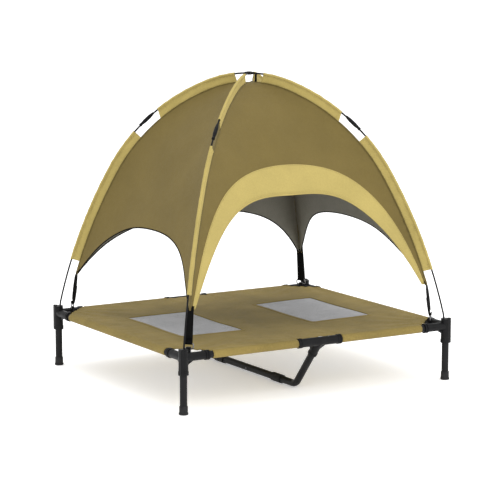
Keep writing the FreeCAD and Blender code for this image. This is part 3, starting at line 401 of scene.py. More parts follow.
def cloth(name, tone, pitch=0.0011, roughness=0.85, sheen=0.05, contrast=0.10, relief=0.00022):
    """Plain-woven coated polyester: thread relief, slubs, faint mottling and handling marks."""
    make = Shader(name, Roughness=roughness, Sheen_Weight=sheen, Sheen_Roughness=0.5,
                  Specular_IOR_Level=0.12)
    mottled = make.math("ADD", make.math("MULTIPLY", make.noise(7.0, 5.0), 0.6),
                        make.math("MULTIPLY", make.noise(190.0, 3.0), 0.4))
    make.paint(mottled, [(0.3, scaled(tone, 1 - contrast)), (0.5, tone), (0.7, scaled(tone, 1 + contrast))])
    weave = make.math("MAXIMUM", make.math("MAXIMUM", make.ribs("X", pitch, 0.6), make.ribs("Y", pitch, 0.6)),
                      make.ribs("Z", pitch, 0.6))
    make.relief(weave, relief, 0.7)
    make.relief(make.noise(420.0, 2.0), 0.00025, 0.5)
    make.relief(make.noise(26.0, 3.0), 0.0016, 0.35)
    make.spread(make.noise(60.0, 3.0), roughness - 0.10, roughness + 0.06)
    return make.material


def webbing(name, tone, pitch=0.0016):
    """Tightly woven nylon tape with cross ribs and a soft gloss."""
    make = Shader(name, Roughness=0.7, Specular_IOR_Level=0.06)
    make.paint(make.noise(240.0, 4.0), [(0.32, scaled(tone, 0.65)), (0.7, scaled(tone, 1.5))])
    make.relief(make.math("ADD", make.ribs("Z", pitch, 0.3), make.ribs("X", pitch * 1.7, 0.5)), 0.0004, 0.8)
    make.spread(make.noise(90.0, 2.0), 0.6, 0.8)
    return make.material


def plastic(name, tone, roughness=0.36, grain=0.00008):
    """Moulded plastic: fine texture from the tool, flow mottling and scuffs."""
    make = Shader(name, Roughness=roughness, Specular_IOR_Level=0.12)
    make.paint(make.noise(38.0, 6.0, 0.65),
               [(0.3, scaled(tone, 0.8)), (0.55, tone), (0.78, scaled(tone, 1.35))])
    make.relief(make.noise(900.0, 2.0), grain, 0.8)
    make.relief(make.noise(30.0, 2.0), 0.0009, 0.25)
    make.spread(make.noise(45.0, 5.0, 0.7), roughness - 0.1, roughness + 0.16)
    return make.material


def coated_steel(name, tone, roughness=0.38):
    """Powder-coated tube: orange peel, faint scratches along and across."""
    make = Shader(name, Roughness=roughness, Specular_IOR_Level=0.14)
    make.paint(make.noise(24.0, 5.0), [(0.3, scaled(tone, 0.85)), (0.72, scaled(tone, 1.2))])
    make.relief(make.noise(520.0, 2.0), 0.00012, 0.8)
    scratches = make.noise(1.0, 6.0, 0.7, (260.0, 260.0, 30.0))
    make.spread(scratches, roughness - 0.1, roughness + 0.14)
    return make.material


def bright_metal(name, tone, roughness=0.24):
    make = Shader(name, Metallic=1.0, Roughness=roughness)
    make.paint(make.noise(160.0, 4.0), [(0.3, scaled(tone, 0.82)), (0.7, tone)])
    make.spread(make.noise(600.0, 4.0, 0.7), roughness - 0.08, roughness + 0.16)
    make.relief(make.noise(700.0, 2.0), 0.00005, 0.6)
    return make.material


def rubber(name, tone):
    make = Shader(name, Roughness=0.72, Specular_IOR_Level=0.35)
    make.paint(make.noise(60.0, 5.0), [(0.3, scaled(tone, 0.8)), (0.7, scaled(tone, 1.4))])
    make.relief(make.noise(480.0, 3.0), 0.00022, 0.7)
    make.spread(make.noise(80.0, 4.0), 0.62, 0.86)
    return make.material


def open_mesh(name, tone, pitch=0.0026):
    """Breathable mesh: a grid of thick threads in colour and bump, with the cells between them darker; no
    real holes.
    """
    make = Shader(name, Roughness=0.6, Sheen_Weight=0.2)
    threads = make.math("MAXIMUM", make.ribs("X", pitch), make.ribs("Y", pitch))
    make.paint(make.math("ADD", make.math("MULTIPLY", threads, 0.75),
                         make.math("MULTIPLY", make.noise(9.0, 4.0), 0.5)),
               [(0.45, scaled(tone, 0.55)), (0.75, tone), (1.0, scaled(tone, 1.16))])
    make.relief(threads, 0.0005, 0.9)
    make.spread(make.noise(40.0, 3.0), 0.5, 0.75)
    return make.material


KHAKI = (109, 95, 54)
YELLOW = (173, 156, 94)
BED = (132, 115, 64)
MAT = {
    "canopy": cloth("canopy_cloth", KHAKI, contrast=0.05),
    "lining": cloth("canopy_lining", (121, 119, 110), roughness=0.7, sheen=0.03, contrast=0.06),
    "band": cloth("band_cloth", YELLOW, contrast=0.05),
    "sleeve": cloth("sleeve_cloth", (170, 153, 91), contrast=0.06),
    "bed": cloth("bed_cloth", BED, pitch=0.0018, contrast=0.12, relief=0.0004),
    "mesh": open_mesh("window_mesh", (150, 150, 152)),
    "trim": webbing("trim_webbing", (11, 11, 10)),
    "strap": webbing("strap_webbing", (10, 10, 10)),
    "thread": cloth("thread", (150, 135, 84), pitch=0.0005, contrast=0.15),
    "dark_thread": cloth("dark_thread", (32, 30, 26), pitch=0.0005, contrast=0.15),
    # Seam fold: the canopy khaki made about 8% darker, which is painted shade along the raised seam.
    "seam": cloth("seam_cloth_painted_shade", (100, 88, 50), contrast=0.05),
    "connector": plastic("connector_plastic", (21, 21, 22), 0.36),
    "joint": plastic("joint_plastic", (17, 17, 18), 0.42),
    "tube": coated_steel("coated_steel", (24, 24, 25)),
    "pole": plastic("pole_fibreglass", (19, 19, 20), 0.45, 0.00005),
    "foot": rubber("foot_rubber", (22, 22, 23)),
    "ring": bright_metal("ring_steel", (140, 140, 142)),
    "spring": bright_metal("spring_steel", (150, 148, 144), 0.34),
}
CAD_LOOKS = (("corner_connector", "connector"), ("tee_connector", "connector"), ("leg_tube", "tube"),
             ("long_rail", "tube"), ("side_rail", "tube"), ("centre_brace", "tube"), ("leg_feet", "foot"),
             ("brace_floor_pads", "foot"), ("strap_ring", "ring"), ("snap_button", "ring"),
             ("button_leaf_spring", "spring"), ("pole_lower", "pole"), ("pole_upper", "pole"),
             ("pole_joint", "joint"), ("apex_hub", "joint"))
for node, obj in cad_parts.items():
    for stem, look in CAD_LOOKS:
        if node.startswith(stem):
            obj.data.materials.clear()
            obj.data.materials.append(MAT[look])


# ---------------------------------------------------------------- canopy surface

class Panel:
    """One side of the dome: outward and lateral directions and its arch."""

    def __init__(self, name, outward, lateral, arch, seed):
        self.name, self.seed = name, seed
        self.outward, self.lateral = np.array(outward, float), np.array(lateral, float)
        long_side = abs(self.outward[1]) > 0.5
        self.reach, self.across = (SIN, COS) if long_side else (COS, SIN)
        self.arch = arch

    def half(self, lean):
        return self.across * pole.at(lean, FIN)[0]

    def arch_curve(self, shares, arch):
        """Lateral place and height along an arch, from the tip (share 0) to its top (share 1)."""
        top, pull, lean, top_pull = ARCHES[arch]
        wide, lean = self.half(TIP_LEAN) - TABS[arch], math.radians(lean)
        points = np.array(((wide, TIP_Z), (wide - pull * math.sin(lean), TIP_Z + pull * math.cos(lean)),
                           (top_pull, RAIL_Z + top), (0, RAIL_Z + top)))
        t = np.asarray(shares, float)[:, None]
        curve = ((1 - t) ** 3 * points[0] + 3 * (1 - t) ** 2 * t * points[1]
                 + 3 * (1 - t) * t ** 2 * points[2] + t ** 3 * points[3])
        return curve[:, 0], curve[:, 1]

    def even_arch(self, count, arch=None):
        """The arch in equal steps of length."""
        s, z = self.arch_curve(np.linspace(0, 1, 600), arch or self.arch)
        place = np.concatenate(([0.0], np.cumsum(np.hypot(np.diff(s), np.diff(z)))))
        spots = np.linspace(0, place[-1], count)
        return np.interp(spots, place, s), np.interp(spots, place, z)

    def normal(self, lean):
        out, up = np.cos(lean), self.reach * np.sin(lean)
        size = np.hypot(out, up)
        return (self.outward * (out / size)[..., None] + UP * (up / size)[..., None])

    def surface(self, across, lean, lift=0.0):
        """Points at a lateral place and lean; the taut cloth draws in between the seams and ripples."""
        across, lean = np.broadcast_arrays(np.asarray(across, float), np.asarray(lean, float))
        reach, height = pole.at(lean, FIN)
        half = np.maximum(self.across * reach, 1e-6)
        share = np.clip(across / half, -1, 1)
        place = (pole.seam_place(lean) - TIP_PLACE) / (SEAM_END - TIP_PLACE)
        crown = np.clip(reach / 0.12, 0, 1)
        bow = 1 - np.abs(share) ** 3
        depth = SAG[self.arch] * bow * np.sin(math.pi * np.clip(place, 0, 1) ** 0.8) ** 0.7
        from_seam = half - np.abs(across)
        pucker = (0.0011 * np.exp(-from_seam / 0.030) * (1 - np.exp(-from_seam / 0.004))
                  * np.sin(2 * math.pi * (place * 21 + 0.9 * np.sin(place * 17 + self.seed))))
        broad = 0.0016 * waves(across / 0.33, place * 3.4, self.seed) * np.minimum(bow * 2.5, 1)
        lift = lift - crown * (depth + pucker + broad)
        base = (self.outward * (self.reach * reach)[..., None] + self.lateral * across[..., None]
                + UP * height[..., None])
        return base + self.normal(lean) * lift[..., None]

    def on_height(self, across, height, lift=0.0):
        return self.surface(across, pole.lean_at_seam_height(height), lift)


PANELS = {
    "front": Panel("front", (0, -1, 0), (1, 0, 0), "front", 3),
    "back": Panel("back", (0, 1, 0), (-1, 0, 0), "back", 5),
    "right": Panel("right", (1, 0, 0), (0, 1, 0), "side", 8),
    "left": Panel("left", (-1, 0, 0), (0, -1, 0), "side", 13),
}
ROWS = 112
DOME_MIDDLE = Vector((0, 0, RAIL_Z + 0.25))


def panel_grid(panel, arch_steps=44):
    """Columns run from the opening's edge (or the tip) to the crown; shared seams match."""
    s, z = panel.even_arch(arch_steps)
    lean = pole.lean_at_seam_height(z)
    share = s / panel.half(lean)
    tab = np.linspace(1, share[0], 4)[:-1]
    half_shares = np.concatenate((tab, np.minimum.accumulate(share)))
    half_leans = np.concatenate((np.full(3, TIP_LEAN), lean))
    shares = np.concatenate((half_shares, -half_shares[-2::-1]))
    starts = pole.seam_place(np.concatenate((half_leans, half_leans[-2::-1])))
    steps = np.linspace(0, 1, ROWS)
    place = starts[None] + (SEAM_END - 1e-4 - starts[None]) * steps[:, None]
    leans = pole.lean_at_seam_place(place)
    across = shares[None] * panel.half(leans)
    verts = panel.surface(across, leans)
    return verts.reshape(-1, 3), grid_faces(ROWS, len(shares))


def build_canopy():
    whole = Gather()
    for panel in PANELS.values():
        whole.add(*panel_grid(panel))
    obj = new_piece("canopy_cloth", whole.verts, whole.faces, "canopy_cloth", "canopy", "lining")
    weld(obj, 0.0006)
    face_outwards(obj, DOME_MIDDLE)
    thicken(obj, CANOPY_GAUGE, -1.0, 1)
    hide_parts(*["canopy_panel_" + name for name in PANELS])
    return obj


def face_outwards(obj, middle):
    """Turns every face so that it looks away from a point inside the dome."""
    shape = bmesh.new()
    shape.from_mesh(obj.data)
    bmesh.ops.recalc_face_normals(shape, faces=shape.faces)
    votes = sum(1 if f.normal.dot(f.calc_center_median() - middle) > 0 else -1 for f in shape.faces)
    if votes < 0:
        bmesh.ops.reverse_faces(shape, faces=shape.faces)
    shape.to_mesh(obj.data)
    shape.free()


canopy = build_canopy()


def whole_arch(s, z):
    """Half an arch, mirrored to run from tip to tip."""
    return np.concatenate((s, -s[-2::-1])), np.concatenate((z, z[-2::-1]))


def arch_edge(panel, arch=None, count=130, lift=0.0, inset=0.0):
    """Points and surface normals along a whole arch, tip to tip, and the way into the cloth."""
    s, z = whole_arch(*panel.even_arch(count, arch))
    lean = pole.lean_at_seam_height(z)
    points = panel.surface(s, lean, lift)
    normals = panel.normal(lean)
    into = unit(np.cross(headings(points), normals))
    outer = points[len(points) // 2] + into[len(points) // 2] * 0.01
    if outer[2] < points[len(points) // 2][2]:
        into = -into
    return points + into * inset, normals, into


def build_band():
    """Contrasting strip sewn on round the front opening, blank, with turned and stitched edges."""
    panel = PANELS["front"]
    count, strips = 110, 12
    inner_s, inner_z = whole_arch(*panel.even_arch(count))
    outer_s, outer_z = whole_arch(*panel.even_arch(count, "band"))
    share = np.concatenate(([0, 0.012, 0.03], np.linspace(0.06, 0.94, strips - 6), [0.97, 0.988, 1]))
    lifts = np.concatenate(([0.0002, 0.0010, 0.0012], np.full(strips - 6, 0.0010), [0.0012, 0.0010, 0.0002]))
    s = inner_s[:, None] * (1 - share) + outer_s[:, None] * share
    z = inner_z[:, None] * (1 - share) + outer_z[:, None] * share
    verts = panel.on_height(s, z, lifts[None] + np.zeros_like(s))
    obj = new_piece("front_band", verts.reshape(-1, 3), grid_faces(*s.shape), "sleeve_cloth", "band")
    face_outwards(obj, DOME_MIDDLE)
    thicken(obj, 0.0006, -1.0)
    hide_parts("canopy_front_band")
    lines = Gather()
    for inset in (0.0055, 0.0105):
        points, normals, _ = arch_edge(panel, lift=0.0014, inset=inset)
        stitches(lines, points[5:-5], normals[5:-5])
    points, normals, _ = arch_edge(panel, "band", lift=0.0014, inset=-0.004)
    stitches(lines, points[8:-8], normals[8:-8])
    gathered("band_stitching", lines, "sleeve_cloth")
    points, normals, _ = arch_edge(panel, lift=0.0001, inset=0.0012)
    verts, faces = swept(points, normals, rounded_flat(0.0040, 0.0036))
    new_piece("front_edge_fold", verts, faces, "sleeve_cloth", "band")
    return obj


def build_binding(name):
    """Black tape folded over the edge of an opening."""
    panel = PANELS[name]
    points, normals, _ = arch_edge(panel, lift=-0.0004, inset=0.0013)
    verts, faces = swept(points, normals, rounded_flat(0.0044, 0.0026))
    new_piece("edge_binding_" + name, verts, faces, "webbing", "trim")
    lines = Gather()
    points, normals, _ = arch_edge(panel, lift=0.0010, inset=0.0022)
    stitches(lines, points, normals)
    gathered("binding_stitching_" + name, lines, "webbing", "dark_thread")


band = build_band()
for side_name in ("back", "left", "right"):
    build_binding(side_name)


# ---------------------------------------------------------------- pole sleeves and seams

def diagonal_point(corner, reach, height, side=0.0):
    """A point in the upright plane through a corner; side is across that plane."""
    sx, sy = CORNERS[corner]
    reach, height, side = np.broadcast_arrays(*[np.asarray(v, float) for v in (reach, height, side)])
    return np.stack((sx * (COS * reach + SIN * side), sy * (SIN * reach - COS * side), height), -1)


def fin_profile():
    """Mid line of the sleeve cloth: up one side of the fin, round the pole and down the other."""
    radius = POLE_DIA / 2 + 0.0010
    narrow = 0.0006
    start = math.pi - math.asin(narrow / radius) - 0.35
    turns = np.linspace(start, -start, 13)
    hoop = [(-radius * math.cos(t), radius * math.sin(t)) for t in turns]
    sides = [(FIN - 0.0004, narrow), (0.026, 0.0009), (0.021, 0.0011), (0.016, 0.0010), (0.011, 0.0008),
             (0.0078, 0.0006), (0.0060, 0.0009)]
    return np.array(sides + hoop + [(inset, -side) for inset, side in reversed(sides)])


def sleeve_stations(first, last, step=0.008):
    """Distances from the hub, closer together at the folded hems."""
    low, high = min(first, last), max(first, last)
    inner = np.arange(low + 0.014, high - 0.014, step)
    return np.concatenate(([low, low + 0.0012, low + 0.0075, low + 0.0090], inner,
                           [high - 0.0090, high - 0.0075, high - 0.0012, high]))


def sleeve_mesh(corner, near_hub, near_foot, seed, slant_hub, slant_foot):
    """Sleeve between two distances from the hub; the slants lengthen its seam side."""
    profile = fin_profile()
    spots = sleeve_stations(near_hub, near_foot)
    from_end = np.minimum(spots - spots[0], spots[-1] - spots)
    hem = 0.0005 * (from_end < 0.008) * (from_end > 0.0005)
    along = (spots - spots[0]) / (spots[-1] - spots[0])
    depth = profile[:, 0] / FIN
    flow = (spots[:, None] - slant_hub * np.clip(depth, 0, 1) * (1 - along[:, None]) ** 6
            + slant_foot * np.clip(depth, 0, 1) * along[:, None] ** 6)
    lean = pole.lean_from_hub(flow)
    middle = np.sin(math.pi * np.clip(depth, 0, 1)) ** 0.8
    flutter = (0.0011 * waves(spots[:, None] / 0.055, depth[None] * 0.5, seed)
               + 0.0005 * waves(spots[:, None] / 0.020, depth[None] * 0.3, seed + 1)) * middle
    slack = np.maximum(0.10 + 0.14 * waves(spots[:, None] / 0.03, depth[None], seed + 2), 0)
    loose = 1 + slack * (depth < 0.16)
    side = profile[:, 1] * loose + np.sign(profile[:, 1]) * hem[:, None] + flutter
    inset = profile[:, 0] * np.where(depth < 0, loose, 1.0)
    verts = diagonal_point(corner, *pole.at(lean, inset), side)
    return verts.reshape(-1, 3), grid_faces(len(spots), len(profile))


def sleeve_stitches(lines, corner, near_hub, near_foot):
    spots = np.arange(near_hub + 0.004, near_foot - 0.004, 0.008)
    lean = pole.lean_from_hub(spots)
    sx, sy = CORNERS[corner]
    for inset in (0.0080, 0.0275):
        for way in (-1, 1):
            side = way * (0.0013 if inset < 0.02 else 0.0015)
            points = diagonal_point(corner, *pole.at(lean, inset), side)
            normal = np.array((sx * SIN, -sy * COS, 0.0)) * way
            stitches(lines, points, normal)


LOWER_TOP, UPPER_BOTTOM, UPPER_TOP = 0.480, 0.362, 0.052
lower_foot_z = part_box("pole_sleeve_lower_front_left")[0].z
pole_height = pole.at(pole.table)[1]
LOWER_BOTTOM = float(pole.pole_length[-1] - np.interp(lower_foot_z + 0.004, pole_height, pole.pole_length))
for number, corner in enumerate(CORNERS):
    for part, ends, slants in (("lower", (LOWER_TOP, LOWER_BOTTOM), (0.0, -0.002)),
                               ("upper", (UPPER_TOP, UPPER_BOTTOM), (0.006, 0.013))):
        verts, faces = sleeve_mesh(corner, *ends, 20 + 7 * number + len(part), *slants)
        sleeve = new_piece(f"sleeve_{part}_{corner}", verts, faces, "sleeve_cloth", "sleeve")
        thicken(sleeve, 0.0006)
        if part == "lower":
            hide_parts("pole_sleeve_lower_" + corner)
        elif number == 0:
            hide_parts("pole_sleeves_upper")
        lines = Gather()
        sleeve_stitches(lines, corner, *ends)
        gathered(f"sleeve_stitching_{part}_{corner}", lines, "sleeve_cloth")


def build_seam(corner):
    """Raised fold where two panels and the sleeve are sewn together, tip to crown."""
    place = np.arange(TIP_PLACE, SEAM_END - 0.02, 0.009)
    lean = pole.lean_at_seam_place(place)
    points = diagonal_point(corner, *pole.at(lean, FIN))
    sx, sy = CORNERS[corner]
    normals = np.stack((np.cos(lean) * sx * COS, np.cos(lean) * sy * SIN, np.sin(lean)), -1)
    profile = np.repeat(np.array([[(-0.0030, -0.0022), (0.0030, -0.0022), (0.0018, 0.0006), (0.0007, 0.0019),
                                   (-0.0007, 0.0019), (-0.0018, 0.0006)]]), len(points), 0)
    profile = profile * (1 + 0.12 * waves(place / 0.02, 0.0, 31))[:, None, None]
    verts, faces = swept(points, normals, profile)
    # The seam look is a darker khaki: painted shade along the fold.
    new_piece("seam_" + corner, verts, faces, "canopy_cloth", "seam")


for corner in CORNERS:
    build_seam(corner)


# ---------------------------------------------------------------- straps

WEB, WEB_GAUGE = 0.025, 0.0015
RING_BAR, RING_WIRE = 0.016, 0.004
LUG_REACH, LUG_Z = CORNER - 0.052, RAIL_Z + 0.021
tip_reach = float(pole.at(TIP_LEAN, FIN)[0])
STRAP_LENGTH = math.hypot(tip_reach - LUG_REACH, TIP_Z - LUG_Z)
STRAP_LEAN = math.atan2(tip_reach - LUG_REACH, TIP_Z - LUG_Z)
STRAP_TURN = 0.30                # slight twist of the free webbing, halfway up


def strap_points(corner, out, along, side=0.0):
    """Own frame of a strap: out from the middle, along from the lug to the canopy tip."""
    out, along, side = [np.asarray(v, float) for v in (out, along, side)]
    share = np.clip((along - RING_BAR) / (STRAP_LENGTH - RING_BAR), 0, 1)
    turn = STRAP_TURN * np.sin(math.pi * share) ** 0.5
    out, side = out * np.cos(turn) + side * np.sin(turn), side * np.cos(turn) - out * np.sin(turn)
    reach = LUG_REACH + along * math.sin(STRAP_LEAN) + out * math.cos(STRAP_LEAN)
    height = LUG_Z + along * math.cos(STRAP_LEAN) - out * math.sin(STRAP_LEAN)
    return diagonal_point(corner, reach, height, side)


def tape(corner, route, width=WEB, gauge=WEB_GAUGE):
    """Flat webbing along a route of (out, along) points, with rounded selvedges."""
    route = np.asarray(route, float)
    points = strap_points(corner, route[:, 0], route[:, 1])
    across = strap_points(corner, route[:, 0], route[:, 1], 1.0) - points
    return swept(points, unit(np.cross(headings(points), across)), rounded_flat(width, gauge))


FINE_STITCH = (0.0036, 0.0024, 0.0003)   # pitch, length, radius


def tape_stitches(lines, corner, out, low, high, inset=0.003):
    """A sewn box with a cross on one face of the tape."""
    half = WEB / 2 - inset
    way = 1 if out > 0 else -1
    facing = strap_points(corner, (0, way), (0, 0))
    normal = unit(facing[1] - facing[0])
    corners = [(-half, low), (half, low), (half, high), (-half, high), (-half, low)]
    runs = list(zip(corners[:-1], corners[1:])) + [(corners[0], corners[2]), (corners[1], corners[3])]
    for (a, b), (c, d) in runs:
        t = np.linspace(0, 1, 9)
        points = strap_points(corner, out, b + (d - b) * t, a + (c - a) * t)
        stitches(lines, points, normal, *FINE_STITCH)


def build_straps(corner):
    inner = RING_WIRE / 2 + 0.0003
    layer = inner + WEB_GAUGE / 2
    turns = np.linspace(0, math.pi, 11)
    bend = [(layer * math.cos(t), RING_BAR - layer * math.sin(t)) for t in turns]
    front = [(layer, RING_BAR + 0.0095 - 0.002 * k) for k in range(5)]
    back = [(-layer, RING_BAR + 0.004 * k) for k in range(1, 17)]
    verts, faces = tape(corner, front + bend + back)
    loop = new_piece("strap_loop_tape_" + corner, verts, faces, "webbing", "strap", body="ring_" + corner)
    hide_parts("strap_loop_" + corner)
    face = -inner + 0.0004 + WEB_GAUGE / 2
    start = RING_BAR + 0.0162
    route = []
    for k in range(31):
        share = k / 30
        tuck = max(0.0, (share - 0.80) / 0.20)
        route.append((face - 0.006 * tuck ** 2, start + (STRAP_LENGTH + 0.012 - start) * share))
    verts, faces = tape(corner, route)
    strap = new_piece("strap_tape_" + corner, verts, faces, "webbing", "strap")
    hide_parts("canopy_strap_" + corner)
    lines = Gather()
    outer = face + WEB_GAUGE / 2 + 0.0001
    tape_stitches(lines, corner, outer, start + 0.003, start + 0.020)
    gathered("strap_stitching_" + corner, lines, "webbing", "dark_thread")
    build_tip(corner)


def build_tip(corner):
    """Doubled cloth pocket over each canopy tip, wrapped round the corner, that takes the strap."""
    sx, sy = CORNERS[corner]
    long_panel = PANELS["front" if sy < 0 else "back"]
    side_panel = PANELS["right" if sx > 0 else "left"]
    rise = np.linspace(-0.003, 0.026, 9)
    lean = pole.lean_at_seam_height(TIP_Z + rise)
    half_long, half_side = long_panel.half(lean), side_panel.half(lean)
    columns = []
    for depth in np.linspace(TABS["band"] + 0.0005, 0.0, 6)[:-1]:
        way = sx * long_panel.lateral[0]
        columns.append(long_panel.surface(way * (half_long - depth), lean, 0.0016))
    columns.append(diagonal_point(corner, *pole.at(lean, FIN - 0.0016)))
    for depth in np.linspace(0.0, 0.0115, 6)[1:]:
        way = sy * side_panel.lateral[1]
        columns.append(side_panel.surface(way * (half_side - depth), lean, 0.0016))
    verts = np.stack(columns, 1)
    obj = new_piece("tip_pocket_" + corner, verts.reshape(-1, 3), grid_faces(*verts.shape[:2]),
                    "canopy_cloth", "canopy")
    face_outwards(obj, Vector((0, 0, TIP_Z)))
    thicken(obj, 0.0012, -1.0)
    lines = Gather()
    for row in (1, 3, 7):
        stitches(lines, verts[row, :6], long_panel.normal(lean[row]), *FINE_STITCH)
        stitches(lines, verts[row, 5:], side_panel.normal(lean[row]), *FINE_STITCH)
    gathered("tip_stitching_" + corner, lines, "canopy_cloth")


for corner in CORNERS:
    build_straps(corner)


def build_apex_tie():
    """Black tape tie over the crown, sewn to the cloth and buttoned round the pole."""
    low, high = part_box("apex_tie")
    middle = (low + high) / 2
    way = unit(np.array((middle.x, middle.y, 0.0)))
    z = np.linspace(low.z - 0.0012, high.z + 0.0002, 12)
    sway = 0.0006 * np.sin(np.linspace(0, 2 * math.pi, 12))
    across = np.array((-way[1], way[0], 0.0))
    points = np.array((middle.x, middle.y, 0.0)) + np.outer(z, UP) + np.outer(sway, across)
    verts, faces = swept(points, across, rounded_flat(0.008, 0.0013))
    tie = new_piece("apex_tie_tape", verts, faces, "webbing", "strap")
    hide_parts("apex_tie")


build_apex_tie()


# ---------------------------------------------------------------- bed

SHEET_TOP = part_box("bed_sheet")[1].z
SHEET_GAUGE = 0.0012
HEM_RADIUS = RAIL_RADIUS + 0.0009
HALF_TEE = 0.086 + 0.002         # tee arm and the gap beside it
CHAMFER = LEG_X + LEG_Y - 0.109  # x + y along the cut corner
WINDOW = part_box("mesh_windows")[1]
WINDOW_WIDTH, WINDOW_CUT, WINDOW_SEAM = 0.240, 0.252, 0.006
WIN_X, WIN_Y = (WINDOW.x - WINDOW_WIDTH, WINDOW.x), WINDOW.y
NOTCH = 0.013                    # cloth cut back at a tee
HEM_WRAP = math.radians(222)


def bed_height(x, y):
    """Top of the stretched cloth: slight sag, pull lines to the corners and small hem puckers."""
    x, y = np.asarray(x, float), np.asarray(y, float)
    ax, ay = np.abs(x), np.abs(y)
    sag = 0.0065 * np.clip(1 - (ax / LEG_X) ** 2, 0, 1) * np.clip(1 - (ay / LEG_Y) ** 2, 0, 1) ** 0.8
    to_corner = np.hypot(LEG_X - ax, LEG_Y - ay)
    turn = np.arctan2(LEG_Y - ay, LEG_X - ax)
    rays = (0.0016 * np.exp(-((to_corner - 0.14) / 0.13) ** 2)
            * np.sin(turn * 19 + 3 * np.sign(x) + np.sign(y)))
    edge = np.minimum(LEG_X - ax, LEG_Y - ay)
    near = np.clip(edge / 0.012, 0, 1) * np.exp(-edge / 0.045)
    along = np.where(LEG_X - ax < LEG_Y - ay, y, x)
    pucker = 0.0011 * near * (np.sin(along / 0.0085 + 2 * np.sin(along / 0.05)) + 0.6 * np.sin(along / 0.019))
    tee = 0.0014 * np.exp(-np.hypot(ax - HALF_TEE, ay - LEG_Y + 0.03) / 0.06) * np.sin(
        np.arctan2(LEG_Y - ay, ax - HALF_TEE + 1e-6) * 11)
    fade = np.clip(edge / 0.02, 0, 1)
    broad = 0.0009 * waves(x / 0.28, y / 0.28, 77)
    return -sag + fade * (rays + tee + broad) + pucker


def bed_point(x, y):
    """Flat cut of the cloth to its place: beyond a rail's axis it wraps round the rail."""
    x, y = np.asarray(x, float), np.asarray(y, float)
    out = np.stack((x, y, np.full_like(x, SHEET_TOP - SHEET_GAUGE / 2) + bed_height(x, y)), -1)
    for axis, limit in ((0, LEG_X), (1, LEG_Y)):
        flat = np.abs(out[:, axis])
        over = flat > limit
        turn = (flat[over] - limit) / HEM_RADIUS
        wrap = np.minimum(turn, HEM_WRAP)
        tail = (turn - wrap) * HEM_RADIUS
        reach = limit + HEM_RADIUS * np.sin(wrap) + tail * np.cos(wrap)
        height = RAIL_Z + HEM_RADIUS * np.cos(wrap) - tail * np.sin(wrap)
        out[over, axis] = np.sign(out[over, axis]) * reach
        out[over, 2] = height
    return out


def lines_between(stops, step):
    """Grid lines that hit every stop exactly and are at most a step apart."""
    out = [stops[0]]
    for start, end in zip(stops[:-1], stops[1:]):
        count = max(1, math.ceil((end - start) / step - 1e-9))
        out.extend(np.linspace(start, end, count + 1)[1:])
    return np.array(out)


def build_bed():
    wrap = HEM_RADIUS * HEM_WRAP + 0.010
    end_x, end_y = CHAMFER - LEG_Y, CHAMFER - LEG_X
    half_x = sorted((0, HALF_TEE, WIN_X[0], end_x, WIN_X[1], LEG_X, LEG_X + wrap))
    half_y = sorted((0, WIN_Y, end_y, LEG_Y - NOTCH, LEG_Y, LEG_Y + wrap))

    def both(half, step, fine):
        coarse = lines_between(half[:-1], step)
        wrapped = lines_between(half[-2:], fine)
        side = np.concatenate((coarse, wrapped[1:]))
        return np.concatenate((-side[:0:-1], side))

    xs, ys = both(half_x, 0.0095, 0.0035), both(half_y, 0.0095, 0.0035)
    shape = bmesh.new()
    made = {}

    def vert(i, j):
        if (i, j) not in made:
            made[i, j] = shape.verts.new((xs[i], ys[j], 0))
        return made[i, j]

    for i in range(len(xs) - 1):
        for j in range(len(ys) - 1):
            x, y = abs(xs[i] + xs[i + 1]) / 2, abs(ys[j] + ys[j + 1]) / 2
            in_window = WIN_X[0] < x < WIN_X[1] and y < WIN_Y
            in_notch = x < HALF_TEE and y > LEG_Y - NOTCH
            beyond = (x > LEG_X and y > end_y) or (y > LEG_Y and x > end_x)
            if not (in_window or in_notch or beyond):
                shape.faces.new((vert(i, j), vert(i + 1, j), vert(i + 1, j + 1), vert(i, j + 1)))
    for sx in (-1, 1):
        for sy in (-1, 1):
            middles = [(f, f.calc_center_median()) for f in shape.faces]
            cloth_part = [f for f, m in middles if 0 < m.x * sx < LEG_X and 0 < m.y * sy < LEG_Y]
            geom = dict.fromkeys(cloth_part)     # a set has no fixed order, a dict has
            for face in cloth_part:
                geom.update(dict.fromkeys([*face.verts, *face.edges]))
            bmesh.ops.bisect_plane(shape, geom=list(geom), dist=1e-6, clear_outer=True,
                                   plane_co=(sx * LEG_X, sy * (CHAMFER - LEG_X), 0), plane_no=(sx, sy, 0))
    flat = np.array([v.co for v in shape.verts])
    flat_area = sum(f.calc_area() for f in shape.faces)
    for v, place in zip(shape.verts, bed_point(flat[:, 0], flat[:, 1])):
        v.co = place
    mesh = bpy.data.meshes.new("bed_cloth")
    shape.to_mesh(mesh)
    shape.free()
    obj = piece_of(mesh, ("bed",), "frame")
    thicken(obj, SHEET_GAUGE)
    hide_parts("bed_sheet")


def on_bed(x, y, level):
    return np.stack((x, y, level + bed_height(x, y)), -1)


